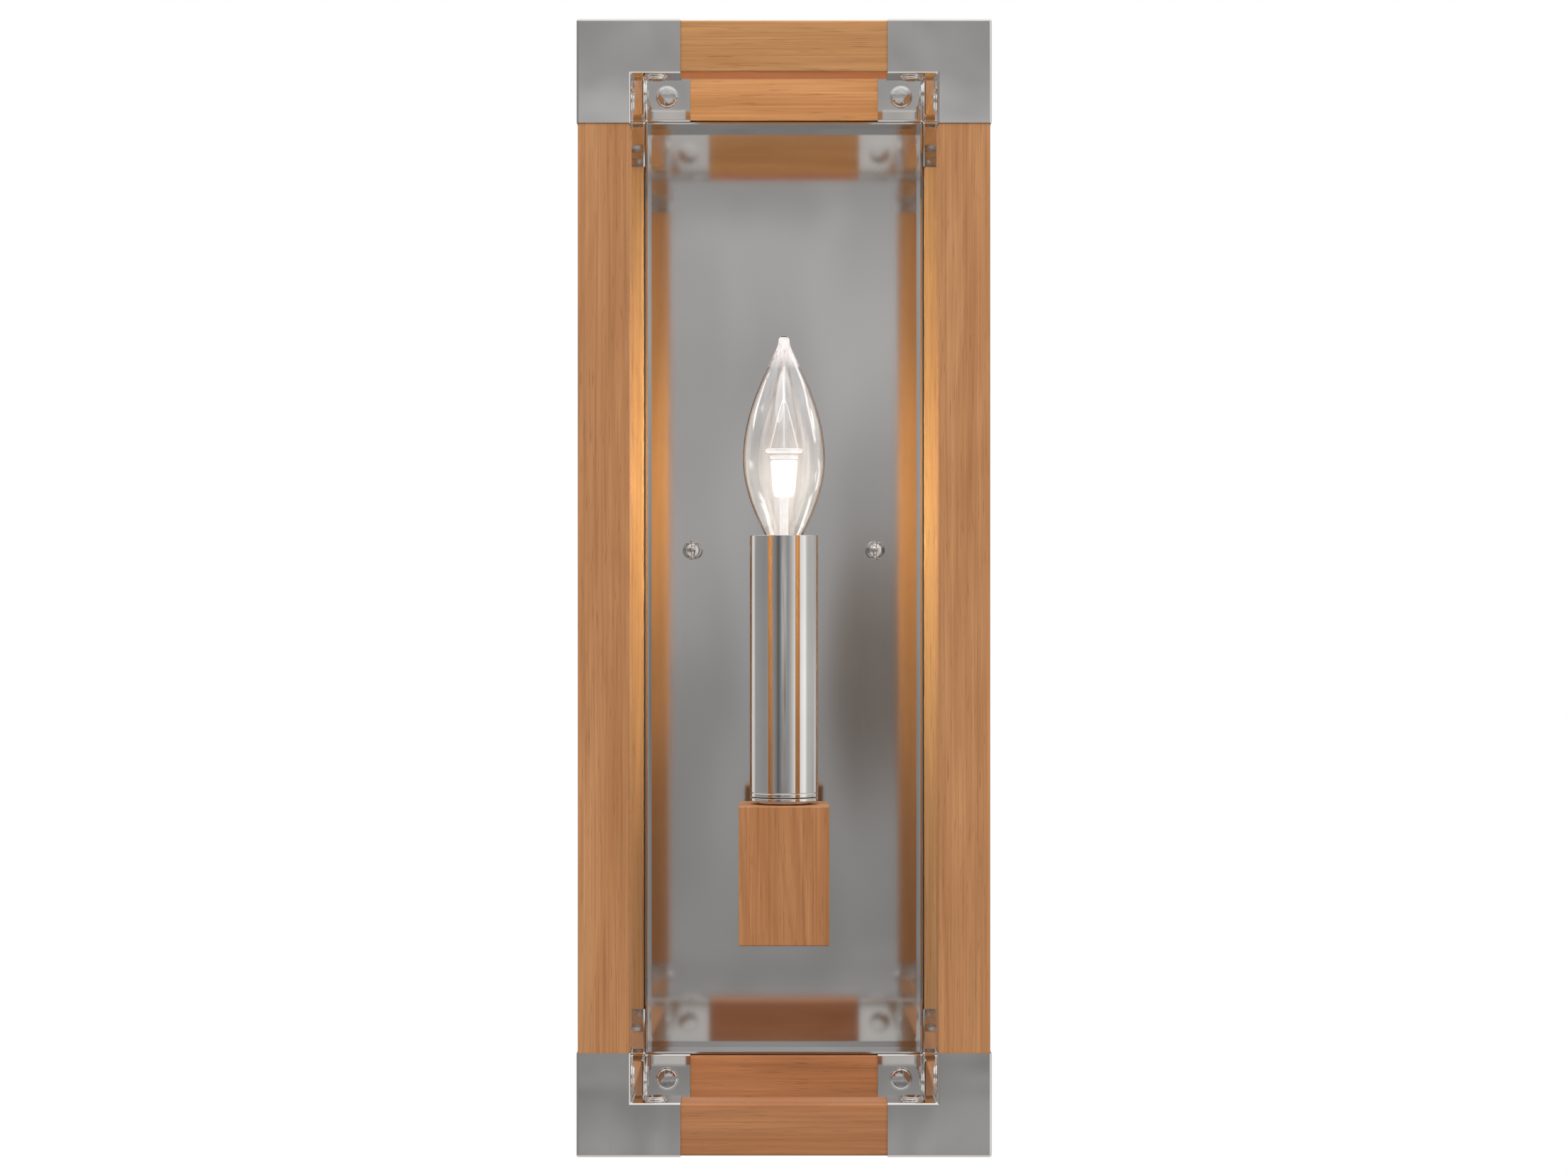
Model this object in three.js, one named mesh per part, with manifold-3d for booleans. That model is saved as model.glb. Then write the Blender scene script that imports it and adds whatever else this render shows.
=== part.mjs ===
// Candle-style wall sconce: an open cage of square wood bars in metal corner brackets, with a
// shallow metal pan in its rear frame and one lamp on a sleeve that stands on a wood block.
// Millimetres. +Z is up, the wall is the plane Y = 0, and the front faces -Y. The origin is the
// centre of the wall strap's rear face, level with the two cap nuts.

import * as THREE from 'three';
import { mergeVertices } from 'three/addons/utils/BufferGeometryUtils.js';
import Module from 'manifold-3d';

// ---- Cage of wood bars
const CAGE_WIDTH = 151.1;
const CAGE_DEPTH = 157.5;
const CAGE_HEIGHT = 415.8;
const BAR = 19;
const BUTT_GAP = 0.1;            // between a rail's end and the post it butts against

// ---- Corner brackets: three square sockets of thin sheet that meet at a corner
const BRACKET_SHEET = 0.4;
const BRACKET_FIT = 0.1;         // between the sheet and the wood
const BRACKET_ARM = 38.1;        // from the outer face of the corner to the end of an arm

// ---- Round-head screws in the bracket arms
const SCREW_HEAD_RADIUS = 3.9;
const SCREW_HEAD_RISE = 1.7;
const SCREW_SHANK_RADIUS = 1.75;
const SCREW_SHANK_LENGTH = 6;
const SCREW_CLEARANCE = 0.3;     // around the shank and past its end
const SEAT_GAP = 0.1;            // between two faces that bear on each other

// ---- Pan in the rear frame
const PAN_SHEET = 0.8;
const PAN_FIT = 0.1;             // between the pan's sides and the bracket arms beside them
const PAN_SETBACK = 5;           // from the rear of the wood to the front of the pan's floor

// ---- Wall strap, its studs and the cap nuts that hold the pan
const STRAP_LENGTH = 104;
const STRAP_WIDTH = 16;
const STRAP_THICKNESS = 2;
const SLOT_LENGTH = 7;
const SLOT_WIDTH = 4.4;
const SLOT_FROM_STUD = 8.2;      // from a stud's axis to the middle of the slot beyond it
const STUD_SPREAD = 74.6;        // between the axes of the two studs
const STUD_RISE = 15.4;          // from the middle of the cage up to the studs
const STUD_RADIUS = 2.1;
const STUD_BACK = 0.3;           // from the wall to the rear end of a stud
const STUD_GRIP = 5;             // length of a stud inside its cap nut
const THREAD_CLEARANCE = 0.3;    // around every threaded or plugged-in piece
const NUT_BALL_RADIUS = 3.9;
const NUT_COLLAR_RADIUS = 3.1;
const NUT_COLLAR_LENGTH = 2.6;

// ---- Candle block and the hollow arm that carries it
const BLOCK_WIDTH = 34.8;
const BLOCK_DEPTH = 35;
const BLOCK_HEIGHT = 53.5;
const BLOCK_TOP_DROP = 83.7;     // from the middle of the cage down to the block's top
const ARM_RADIUS = 6.35;
const ARM_TAIL_RADIUS = 5;       // threaded tail, through the pan's floor
const ARM_TAIL_LENGTH = 4.3;
const ARM_BORE_RADIUS = 3.4;
const ARM_ENTRY = 12;            // how far the arm goes into the block
const ARM_NUT_WIDTH = 17;        // across the flats
const ARM_NUT_THICKNESS = 3;

// ---- Candle sleeve, the turned seat under it, and the nipple and lamp socket inside it
const SLEEVE_RADIUS = 13.3;
const SLEEVE_WALL = 1.2;
const SLEEVE_LENGTH = 101.2;
const SLEEVE_GAP = 0.3;          // fine line between the sleeve and its seat
const SEAT_NECK_RADIUS = 10;
const SEAT_NECK_HEIGHT = 1.2;
const SEAT_RIM_HEIGHT = 1.3;
const SEAT_SPIGOT_HEIGHT = 4;
const SPIGOT_CLEARANCE = 0.3;    // between the spigot and the sleeve
const NIPPLE_RADIUS = 4.85;
const NIPPLE_BORE_RADIUS = 3.2;
const NIPPLE_ABOVE_ARM = 0.5;    // from the arm's hole in the block up to the nipple's end
const NIPPLE_GRIP = 6.5;         // length of the nipple inside the socket
const SOCKET_CLEARANCE = 1.9;    // between the socket and the sleeve's bore
const SOCKET_LENGTH = 48;
const SOCKET_BELOW_SLEEVE = 6.3; // from the top of the sleeve down to the socket's mouth

// ---- Lamp: flame-shaped bulb on a candelabra base
const BASE_RADIUS = 5.95;
const BASE_LENGTH = 18.6;
const BASE_CLEARANCE = 0.45;     // between the base and the socket's bore
const BASE_COLLAR_RADIUS = 6.7;
const BASE_COLLAR_HEIGHT = 3.4;
const CONTACT_RADIUS = 2.2;
const INSULATOR_RADIUS = 4.2;
const CONTACT_GAP = 0.6;         // between the contact and the bottom of the socket's bore
const BULB_RADIUS = 15.95;
const BULB_NECK_RADIUS = 5.9;
const BULB_LOWER_HEIGHT = 32.3;  // from the neck up to the widest place
const BULB_UPPER_HEIGHT = 46.7;  // from the widest place up to the tip
const GLASS_WALL = 0.7;
const GLASS_TIP = 1.5;           // thickness of the glass at the tip
const STEM_RADIUS = 1.9;
const STEM_FLARE_RADIUS = 4.2;
const STEM_FLARE_HEIGHT = 4.5;
const BURNER_FROM_NECK = 16.4;
const BURNER_RADIUS = 5.65;
const BURNER_HEIGHT = 14.4;
const DISC_RADIUS = 7.15;
const DISC_HEIGHT = 1.8;
const CONE_RADIUS = 6.3;
const CONE_HEIGHT = 19.4;
const SPIKE_RADIUS = 0.8;
const SPIKE_HEIGHT = 18;

// ---- Fineness of the round pieces
const FINE = 32;                 // sides of a large round piece
const COARSE = 12;               // sides of a small round piece
const BULB_STEPS = 6;            // rings in each half of the bulb's outline
const DOME_STEPS = 2;            // rings in a screw's head
const BALL_STEPS = 6;            // rings in a cap nut's ball

// ---- Places that follow from the sizes above, in the cage's frame (middle of the cage)
const HALF_WIDTH = CAGE_WIDTH / 2;
const HALF_DEPTH = CAGE_DEPTH / 2;
const HALF_HEIGHT = CAGE_HEIGHT / 2;
const BRACKET_PROUD = BRACKET_FIT + BRACKET_SHEET;
const WALL_Y = HALF_DEPTH + BRACKET_PROUD;
const FLOOR_FRONT_Y = HALF_DEPTH - PAN_SETBACK;
const FLOOR_REAR_Y = FLOOR_FRONT_Y + PAN_SHEET;
const STATION = (BAR + BRACKET_ARM - BRACKET_PROUD) / 2;  // screw, from the wood's outer corner
const BLOCK_TOP_Z = -BLOCK_TOP_DROP;
const BLOCK_MIDDLE_Z = BLOCK_TOP_Z - BLOCK_HEIGHT / 2;
const SEAT_BOTTOM_Z = BLOCK_TOP_Z + SEAT_GAP;
const SEAT_RIM_TOP_Z = SEAT_BOTTOM_Z + SEAT_NECK_HEIGHT + SEAT_RIM_HEIGHT;
const SLEEVE_BOTTOM_Z = SEAT_RIM_TOP_Z + SLEEVE_GAP;
const SLEEVE_TOP_Z = SLEEVE_BOTTOM_Z + SLEEVE_LENGTH;
const SLEEVE_BORE_RADIUS = SLEEVE_RADIUS - SLEEVE_WALL;
const SOCKET_RADIUS = SLEEVE_BORE_RADIUS - SOCKET_CLEARANCE;
const SOCKET_TOP_Z = SLEEVE_TOP_Z - SOCKET_BELOW_SLEEVE;
const SOCKET_BOTTOM_Z = SOCKET_TOP_Z - SOCKET_LENGTH;
const BASE_TOP_Z = SOCKET_TOP_Z + BASE_COLLAR_HEIGHT + THREAD_CLEARANCE;
const BASE_BOTTOM_Z = BASE_TOP_Z - BASE_LENGTH;
const NECK_Z = BASE_TOP_Z + SEAT_GAP;
const BULB_MIDDLE_Z = NECK_Z + BULB_LOWER_HEIGHT;
const NIPPLE_HOLE_RADIUS = NIPPLE_RADIUS + THREAD_CLEARANCE;
const ARM_HOLE_RADIUS = ARM_RADIUS + THREAD_CLEARANCE;
const SCREW_HOLE_RADIUS = SCREW_SHANK_RADIUS + SCREW_CLEARANCE;
const SCREW_HOLE_DEPTH = SCREW_SHANK_LENGTH + SCREW_CLEARANCE;

const SIDES = [-1, 1];

// ---- Materials
const wood = new THREE.MeshStandardMaterial({ color: '#ae7a50', roughness: 0.5, metalness: 0 });
const nickel = new THREE.MeshStandardMaterial({ color: '#b9b6b2', roughness: 0.08, metalness: 1 });
const satin = new THREE.MeshStandardMaterial({ color: '#9c9894', roughness: 0.3, metalness: 1 });
const steel = new THREE.MeshStandardMaterial({ color: '#8f9194', roughness: 0.4, metalness: 1 });
const phenolic = new THREE.MeshStandardMaterial({ color: '#e9e5da', roughness: 0.5, metalness: 0 });
const glass = new THREE.MeshStandardMaterial({
  color: '#f4f6f7', roughness: 0.02, metalness: 0, transparent: true, opacity: 0.3,
});
const burner = new THREE.MeshStandardMaterial({
  color: '#fff2dc', roughness: 0.2, metalness: 0, emissive: '#ffe6c0',
});

// ---- Solids
const wasm = await Module();
wasm.setup();

function solid(geometry) {
  const bare = geometry.clone();
  bare.deleteAttribute('normal');
  bare.deleteAttribute('uv');
  const merged = mergeVertices(bare, 1e-3);
  return new wasm.Manifold(new wasm.Mesh({
    numProp: 3,
    vertProperties: merged.attributes.position.array,
    triVerts: new Uint32Array(merged.index.array),
  }));
}

function geometryOf(manifold) {
  const { vertProperties, triVerts } = manifold.getMesh();
  const geometry = new THREE.BufferGeometry();
  geometry.setAttribute('position', new THREE.BufferAttribute(vertProperties, 3));
  geometry.setIndex(new THREE.BufferAttribute(triVerts, 1));
  return geometry;
}

function cut(body, tools) {
  return geometryOf(tools.reduce((left, tool) => left.subtract(solid(tool)), solid(body)));
}

function join(first, ...rest) {
  return geometryOf(rest.reduce((all, piece) => all.add(solid(piece)), solid(first)));
}

// A box from its low corner to its high corner.
function block(low, high) {
  const size = high.map((value, i) => value - low[i]);
  const middle = high.map((value, i) => (value + low[i]) / 2);
  return new THREE.BoxGeometry(...size).translate(...middle);
}

// A round rod along an axis ('x', 'y' or 'z'), centred on a point.
function rod(radius, length, axis, [x, y, z] = [0, 0, 0], sides = COARSE) {
  const geometry = new THREE.CylinderGeometry(radius, radius, length, sides);
  if (axis === 'x') geometry.rotateZ(Math.PI / 2);
  if (axis === 'z') geometry.rotateX(Math.PI / 2);
  return geometry.translate(x, y, z);
}

// A turned piece about +Z from [radius, height] points, listed upwards along its outside.
function turned(points, sides = FINE) {
  const outline = points.map(([radius, height]) => new THREE.Vector2(radius, height));
  return new THREE.LatheGeometry(outline, sides).rotateX(Math.PI / 2);
}

// A tube about +Z between two heights.
function tube(outer, bore, bottom, top, sides = FINE) {
  const ring = [[bore, bottom], [outer, bottom], [outer, top], [bore, top], [bore, bottom]];
  return turned(ring, sides);
}

function arc(steps, point) {
  return Array.from({ length: steps + 1 }, (_, i) => point(i / steps));
}

// ---- The scene graph
const sconce = new THREE.Group();
const cage = new THREE.Group();
cage.position.set(0, -WALL_Y, -STUD_RISE);
sconce.add(cage);

function place(parent, name, geometry, material, position = [0, 0, 0]) {
  const mesh = new THREE.Mesh(geometry, material);
  mesh.name = name;
  mesh.position.set(...position);
  parent.add(mesh);
  return mesh;
}

const sideName = (x) => (x < 0 ? 'left' : 'right');
const levelName = (z) => (z < 0 ? 'bottom' : 'top');
const endName = (y) => (y < 0 ? 'front' : 'rear');

// A wood bar about its own middle, along one axis. Both its ends are in brackets, each with one
// screw in the face that looks along `face`, a unit vector.
function woodBar(axis, length, cageLength, face) {
  const along = 'xyz'.indexOf(axis);
  const size = [BAR, BAR, BAR];
  size[along] = length;
  const faceAxis = 'xyz'[face.findIndex((value) => value !== 0)];
  const holes = SIDES.map((end) => {
    const middle = face.map((value) => value * (BAR - SCREW_HOLE_DEPTH) / 2);
    middle[along] = end * (cageLength / 2 - STATION);
    return rod(SCREW_HOLE_RADIUS, SCREW_HOLE_DEPTH, faceAxis, middle.map((value, i) => (
      value + face[i] * SEAT_GAP)));
  });
  return cut(new THREE.BoxGeometry(...size), holes);
}

function addBars() {
  const x = HALF_WIDTH - BAR / 2;
  const y = HALF_DEPTH - BAR / 2;
  const z = HALF_HEIGHT - BAR / 2;
  const across = CAGE_WIDTH - 2 * (BAR + BUTT_GAP);
  const through = CAGE_DEPTH - 2 * (BAR + BUTT_GAP);
  for (const b of SIDES) {
    for (const a of SIDES) {
      const post = woodBar('z', CAGE_HEIGHT, CAGE_HEIGHT, [0, -b, 0]);
      place(cage, `${endName(b)}_${sideName(a)}_post`, post, wood, [a * x, b * y, 0]);
      const rail = woodBar('x', across, CAGE_WIDTH, [0, -b, 0]);
      place(cage, `${endName(b)}_${levelName(a)}_rail`, rail, wood, [0, b * y, a * z]);
      const side = woodBar('y', through, CAGE_DEPTH, [0, 0, -b]);
      place(cage, `${sideName(a)}_${levelName(b)}_rail`, side, wood, [a * x, 0, b * z]);
    }
  }
}

// The corner bracket whose arms run along -X, -Y and -Z from the wood's outer corner, at zero.
function cornerBracket() {
  const armEnd = BRACKET_PROUD - BRACKET_ARM;
  const arm = (axis, proud, end) => {
    const low = [-BAR - proud, -BAR - proud, -BAR - proud];
    low[axis] = end;
    return block(low, [proud, proud, proud]);
  };
  const outside = join(...[0, 1, 2].map((axis) => arm(axis, BRACKET_PROUD, armEnd)));
  const inside = join(...[0, 1, 2].map((axis) => arm(axis, BRACKET_FIT, armEnd - BAR)));
  const faceY = [0, -BAR, 0];
  const faceZ = [0, 0, -BAR];
  const holes = [['x', faceY, 'y'], ['z', faceY, 'y'], ['y', faceZ, 'z']].map(
    ([along, face, through]) => {
      const middle = face.map((value) => value || -BAR / 2);
      middle['xyz'.indexOf(along)] = -STATION;
      return rod(SCREW_HOLE_RADIUS, BAR / 2, through, middle);
    },
  );
  return cut(outside, [inside, ...holes]);
}

// A screw about +Z: the head's seat is at zero and the shank hangs below it.
function cornerScrew() {
  const dome = arc(DOME_STEPS, (t) => [
    SCREW_HEAD_RADIUS * Math.cos(t * Math.PI / 2),
    SCREW_HEAD_RISE * (0.25 + 0.75 * Math.sin(t * Math.PI / 2)),
  ]);
  dome[DOME_STEPS][0] = 0;
  return turned([
    [0, -SCREW_SHANK_LENGTH], [SCREW_SHANK_RADIUS, -SCREW_SHANK_LENGTH],
    [SCREW_SHANK_RADIUS, 0], [SCREW_HEAD_RADIUS, 0], ...dome,
  ], COARSE);
}

function addCorners() {
  const bracket = cornerBracket();
  const screw = cornerScrew();
  const seat = BAR + BRACKET_PROUD + SEAT_GAP;
  const up = new THREE.Vector3(0, 0, 1);
  for (const b of SIDES) {
    for (const c of SIDES) {
      for (const a of SIDES) {
        const corner = new THREE.Group();
        corner.position.set(a * HALF_WIDTH, b * HALF_DEPTH, c * HALF_HEIGHT);
        cage.add(corner);
        const name = `${endName(b)}_${levelName(c)}_${sideName(a)}`;
        place(corner, `${name}_bracket`, bracket, nickel).scale.set(a, b, c);
        const screws = {
          across: { at: [-a * STATION, -b * seat, -c * BAR / 2], out: [0, -b, 0] },
          upright: { at: [-a * BAR / 2, -b * seat, -c * STATION], out: [0, -b, 0] },
          depth: { at: [-a * BAR / 2, -b * STATION, -c * seat], out: [0, 0, -c] },
        };
        for (const [arm, { at, out }] of Object.entries(screws)) {
          const mesh = place(corner, `${name}_${arm}_screw`, screw, nickel, at);
          mesh.quaternion.setFromUnitVectors(up, new THREE.Vector3(...out));
        }
      }
    }
  }
}

// The pan lines the rear frame's opening: a floor with four low sides, open to the front.
function addPan() {
  const margin = BAR + BRACKET_PROUD + PAN_FIT;
  const x = HALF_WIDTH - margin;
  const z = HALF_HEIGHT - margin;
  const rim = HALF_DEPTH - BAR;
  const body = block([-x, rim, -z], [x, FLOOR_REAR_Y, z]);
  const hollow = block(
    [PAN_SHEET - x, rim - BAR, PAN_SHEET - z],
    [x - PAN_SHEET, FLOOR_FRONT_Y, z - PAN_SHEET],
  );
  const studHoles = SIDES.map((a) => rod(
    STUD_RADIUS + THREAD_CLEARANCE, BAR, 'y', [a * STUD_SPREAD / 2, HALF_DEPTH, STUD_RISE]));
  const armHole = rod(
    ARM_TAIL_RADIUS + THREAD_CLEARANCE, BAR, 'y', [0, HALF_DEPTH, BLOCK_MIDDLE_Z]);
  place(cage, 'back_pan', cut(body, [hollow, ...studHoles, armHole]), satin);
}

// A slot along X through the strap, with round ends.
function slot(x) {
  const half = (SLOT_LENGTH - SLOT_WIDTH) / 2;
  const depth = 3 * STRAP_THICKNESS;
  return join(
    block([x - half, -depth / 2, -SLOT_WIDTH / 2], [x + half, depth / 2, SLOT_WIDTH / 2]),
    ...SIDES.map((end) => rod(SLOT_WIDTH / 2, depth, 'y', [x + end * half, 0, 0])),
  );
}

function capNut() {
  const start = Math.asin(NUT_COLLAR_RADIUS / NUT_BALL_RADIUS);
  const middle = NUT_COLLAR_LENGTH + NUT_BALL_RADIUS * Math.cos(start);
  const ball = arc(BALL_STEPS, (t) => {
    const angle = start + (Math.PI - start) * t;
    return [NUT_BALL_RADIUS * Math.sin(angle), middle - NUT_BALL_RADIUS * Math.cos(angle)];
  });
  ball[BALL_STEPS][0] = 0;
  const bore = STUD_RADIUS + THREAD_CLEARANCE;
  const depth = STUD_GRIP + THREAD_CLEARANCE;
  const outline = [[0, depth], [bore, depth], [bore, 0], [NUT_COLLAR_RADIUS, 0], ...ball];
  return turned(outline, COARSE).rotateX(Math.PI / 2);
}

function addStrap() {
  const body = block(
    [-STRAP_LENGTH / 2, -STRAP_THICKNESS, -STRAP_WIDTH / 2], [STRAP_LENGTH / 2, 0, STRAP_WIDTH / 2]);
  const nutSeat = FLOOR_FRONT_Y - WALL_Y - SEAT_GAP;
  const studLength = STUD_GRIP - nutSeat - STUD_BACK;
  const studX = SIDES.map((a) => a * STUD_SPREAD / 2);
  const studHoles = studX.map((x) => (
    rod(STUD_RADIUS + THREAD_CLEARANCE, 3 * STRAP_THICKNESS, 'y', [x, 0, 0])));
  const slots = SIDES.map((a) => slot(a * (STUD_SPREAD / 2 + SLOT_FROM_STUD)));
  place(sconce, 'wall_strap', cut(body, [...studHoles, ...slots]), steel);
  for (const x of studX) {
    const stud = rod(STUD_RADIUS, studLength, 'y');
    place(sconce, `${sideName(x)}_stud`, stud, steel, [x, -STUD_BACK - studLength / 2, 0]);
    place(sconce, `${sideName(x)}_cap_nut`, capNut(), nickel, [x, nutSeat, 0]);
  }
}

// The hollow arm runs from behind the pan's floor into the block, and a nut holds its tail.
function addArm() {
  const armFront = BLOCK_DEPTH / 2 - ARM_ENTRY;
  const shoulder = FLOOR_FRONT_Y - SEAT_GAP;
  const tailEnd = shoulder + ARM_TAIL_LENGTH;
  const body = turned([
    [ARM_BORE_RADIUS, armFront], [ARM_RADIUS, armFront], [ARM_RADIUS, shoulder],
    [ARM_TAIL_RADIUS, shoulder], [ARM_TAIL_RADIUS, tailEnd], [ARM_BORE_RADIUS, tailEnd],
    [ARM_BORE_RADIUS, armFront],
  ]).rotateX(-Math.PI / 2);
  place(cage, 'candle_arm', body, nickel, [0, 0, BLOCK_MIDDLE_Z]);
  const acrossCorners = ARM_NUT_WIDTH / Math.cos(Math.PI / 6);
  const nut = cut(rod(acrossCorners / 2, ARM_NUT_THICKNESS, 'y', [0, 0, 0], 6), [
    rod(ARM_TAIL_RADIUS + THREAD_CLEARANCE, 2 * ARM_NUT_THICKNESS, 'y'),
  ]);
  const nutY = FLOOR_REAR_Y + SEAT_GAP + ARM_NUT_THICKNESS / 2;
  place(cage, 'arm_nut', nut, steel, [0, nutY, BLOCK_MIDDLE_Z]);
}

function addBlock() {
  const body = new THREE.BoxGeometry(BLOCK_WIDTH, BLOCK_DEPTH, BLOCK_HEIGHT);
  const armHole = rod(ARM_HOLE_RADIUS, BLOCK_DEPTH, 'y', [0, BLOCK_DEPTH / 2, 0], FINE);
  const wireHole = rod(NIPPLE_HOLE_RADIUS, BLOCK_HEIGHT, 'z', [0, 0, BLOCK_HEIGHT / 2], FINE);
  place(cage, 'candle_block', cut(body, [armHole, wireHole]), wood, [0, 0, BLOCK_MIDDLE_Z]);
}

function addCandle() {
  const rimBottom = SEAT_BOTTOM_Z + SEAT_NECK_HEIGHT;
  const spigotTop = SEAT_RIM_TOP_Z + SEAT_SPIGOT_HEIGHT;
  const spigotRadius = SLEEVE_BORE_RADIUS - SPIGOT_CLEARANCE;
  const seat = turned([
    [NIPPLE_HOLE_RADIUS, SEAT_BOTTOM_Z], [SEAT_NECK_RADIUS, SEAT_BOTTOM_Z],
    [SEAT_NECK_RADIUS, rimBottom], [SLEEVE_RADIUS, rimBottom],
    [SLEEVE_RADIUS, SEAT_RIM_TOP_Z], [spigotRadius, SEAT_RIM_TOP_Z],
    [spigotRadius, spigotTop], [NIPPLE_HOLE_RADIUS, spigotTop],
    [NIPPLE_HOLE_RADIUS, SEAT_BOTTOM_Z],
  ]);
  place(cage, 'sleeve_seat', seat, nickel);
  const sleeve = tube(SLEEVE_RADIUS, SLEEVE_BORE_RADIUS, SLEEVE_BOTTOM_Z, SLEEVE_TOP_Z);
  place(cage, 'candle_sleeve', sleeve, nickel);
  const nippleBottom = BLOCK_MIDDLE_Z + ARM_HOLE_RADIUS + NIPPLE_ABOVE_ARM;
  const nippleTop = SOCKET_BOTTOM_Z + NIPPLE_GRIP;
  const nipple = tube(NIPPLE_RADIUS, NIPPLE_BORE_RADIUS, nippleBottom, nippleTop);
  place(cage, 'socket_nipple', nipple, steel);
  const holeTop = nippleTop + THREAD_CLEARANCE;
  const boreBottom = BASE_BOTTOM_Z - CONTACT_GAP;
  const boreRadius = BASE_RADIUS + BASE_CLEARANCE;
  const socket = turned([
    [0, holeTop], [NIPPLE_HOLE_RADIUS, holeTop], [NIPPLE_HOLE_RADIUS, SOCKET_BOTTOM_Z],
    [SOCKET_RADIUS, SOCKET_BOTTOM_Z], [SOCKET_RADIUS, SOCKET_TOP_Z],
    [boreRadius, SOCKET_TOP_Z], [boreRadius, boreBottom], [0, boreBottom],
  ]);
  place(cage, 'lamp_socket', socket, phenolic);
}

// The bulb's outline from the neck to the tip, a cosine on each side of the widest place.
function bulbOutline(radius, neckRadius, tip) {
  const turn = Math.acos(neckRadius / radius);
  const lower = arc(BULB_STEPS, (t) => [
    radius * Math.cos(turn * (1 - t)), NECK_Z + BULB_LOWER_HEIGHT * t,
  ]);
  const upper = arc(BULB_STEPS, (t) => [
    radius * Math.cos(t * Math.PI / 2), BULB_MIDDLE_Z + (tip - BULB_MIDDLE_Z) * t,
  ]);
  upper[BULB_STEPS][0] = 0;
  return [...lower, ...upper.slice(1)];
}

function addLamp() {
  const base = turned([
    [0, BASE_BOTTOM_Z], [CONTACT_RADIUS, BASE_BOTTOM_Z],
    [INSULATOR_RADIUS, BASE_BOTTOM_Z + CONTACT_RADIUS],
    [BASE_RADIUS, BASE_BOTTOM_Z + CONTACT_RADIUS],
    [BASE_RADIUS, BASE_TOP_Z - BASE_COLLAR_HEIGHT],
    [BASE_COLLAR_RADIUS, BASE_TOP_Z - BASE_COLLAR_HEIGHT],
    [BASE_COLLAR_RADIUS, BASE_TOP_Z], [0, BASE_TOP_Z],
  ]);
  place(cage, 'lamp_base', base, nickel);
  const tip = BULB_MIDDLE_Z + BULB_UPPER_HEIGHT;
  const outside = bulbOutline(BULB_RADIUS, BULB_NECK_RADIUS, tip);
  const inside = bulbOutline(
    BULB_RADIUS - GLASS_WALL, BULB_NECK_RADIUS - GLASS_WALL, tip - GLASS_TIP);
  place(cage, 'lamp_glass', turned([...inside.reverse(), ...outside]), glass);
  const burnerBottom = NECK_Z + BURNER_FROM_NECK;
  const burnerTop = burnerBottom + BURNER_HEIGHT;
  const coneTop = burnerTop + DISC_HEIGHT + CONE_HEIGHT;
  const stem = turned([
    [0, NECK_Z], [STEM_FLARE_RADIUS, NECK_Z], [STEM_RADIUS, NECK_Z + STEM_FLARE_HEIGHT],
    [STEM_RADIUS, burnerBottom], [BURNER_RADIUS, burnerBottom],
    [BURNER_RADIUS, burnerTop], [DISC_RADIUS, burnerTop],
    [DISC_RADIUS, burnerTop + DISC_HEIGHT], [CONE_RADIUS, burnerTop + DISC_HEIGHT],
    [SPIKE_RADIUS, coneTop], [SPIKE_RADIUS, coneTop + SPIKE_HEIGHT], [0, coneTop + SPIKE_HEIGHT],
  ], COARSE);
  place(cage, 'lamp_stem', stem, burner);
}

addBars();
addCorners();
addPan();
addStrap();
addArm();
addBlock();
addCandle();
addLamp();

export default sconce;
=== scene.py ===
"""Candle-style wall sconce: a wood cage in metal corner brackets, built around its CAD frame.
Metres. +Z is up, the wall is at Y = 0 and the front faces -Y."""

import math

import bmesh
import bpy
from mathutils import Matrix, Vector


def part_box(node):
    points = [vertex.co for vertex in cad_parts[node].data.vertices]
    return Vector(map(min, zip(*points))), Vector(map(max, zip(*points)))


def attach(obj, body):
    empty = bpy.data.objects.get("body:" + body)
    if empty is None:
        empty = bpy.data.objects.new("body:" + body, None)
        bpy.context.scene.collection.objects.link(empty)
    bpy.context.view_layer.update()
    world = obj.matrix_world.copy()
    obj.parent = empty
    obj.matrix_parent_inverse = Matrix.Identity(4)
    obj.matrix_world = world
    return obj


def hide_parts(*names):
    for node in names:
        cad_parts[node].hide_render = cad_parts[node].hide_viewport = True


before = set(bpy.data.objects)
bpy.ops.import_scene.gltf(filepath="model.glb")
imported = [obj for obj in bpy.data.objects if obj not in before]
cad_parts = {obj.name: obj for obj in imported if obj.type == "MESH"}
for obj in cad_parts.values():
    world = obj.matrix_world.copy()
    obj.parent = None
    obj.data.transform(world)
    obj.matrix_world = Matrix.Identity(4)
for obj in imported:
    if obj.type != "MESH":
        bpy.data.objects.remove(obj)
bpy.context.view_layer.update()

MM = 0.001
SIDES = {"left": -1, "right": 1}
LEVELS = {"bottom": -1, "top": 1}
ENDS = {"front": -1, "rear": 1}
ALONG = {"X": 0, "Y": 1, "Z": 2}


# ---- Sizes read from the frame
def box_of(node):
    low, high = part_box(node)
    return Vector(low), Vector(high)


def middle(node):
    low, high = box_of(node)
    return (low + high) / 2


def extent(node):
    low, high = box_of(node)
    return high - low


def axis_from_wall(node):
    """Where the axis of a piece that runs out from the wall passes through Y = 0."""
    spot = middle(node)
    return (spot.x, 0, spot.z)


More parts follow.
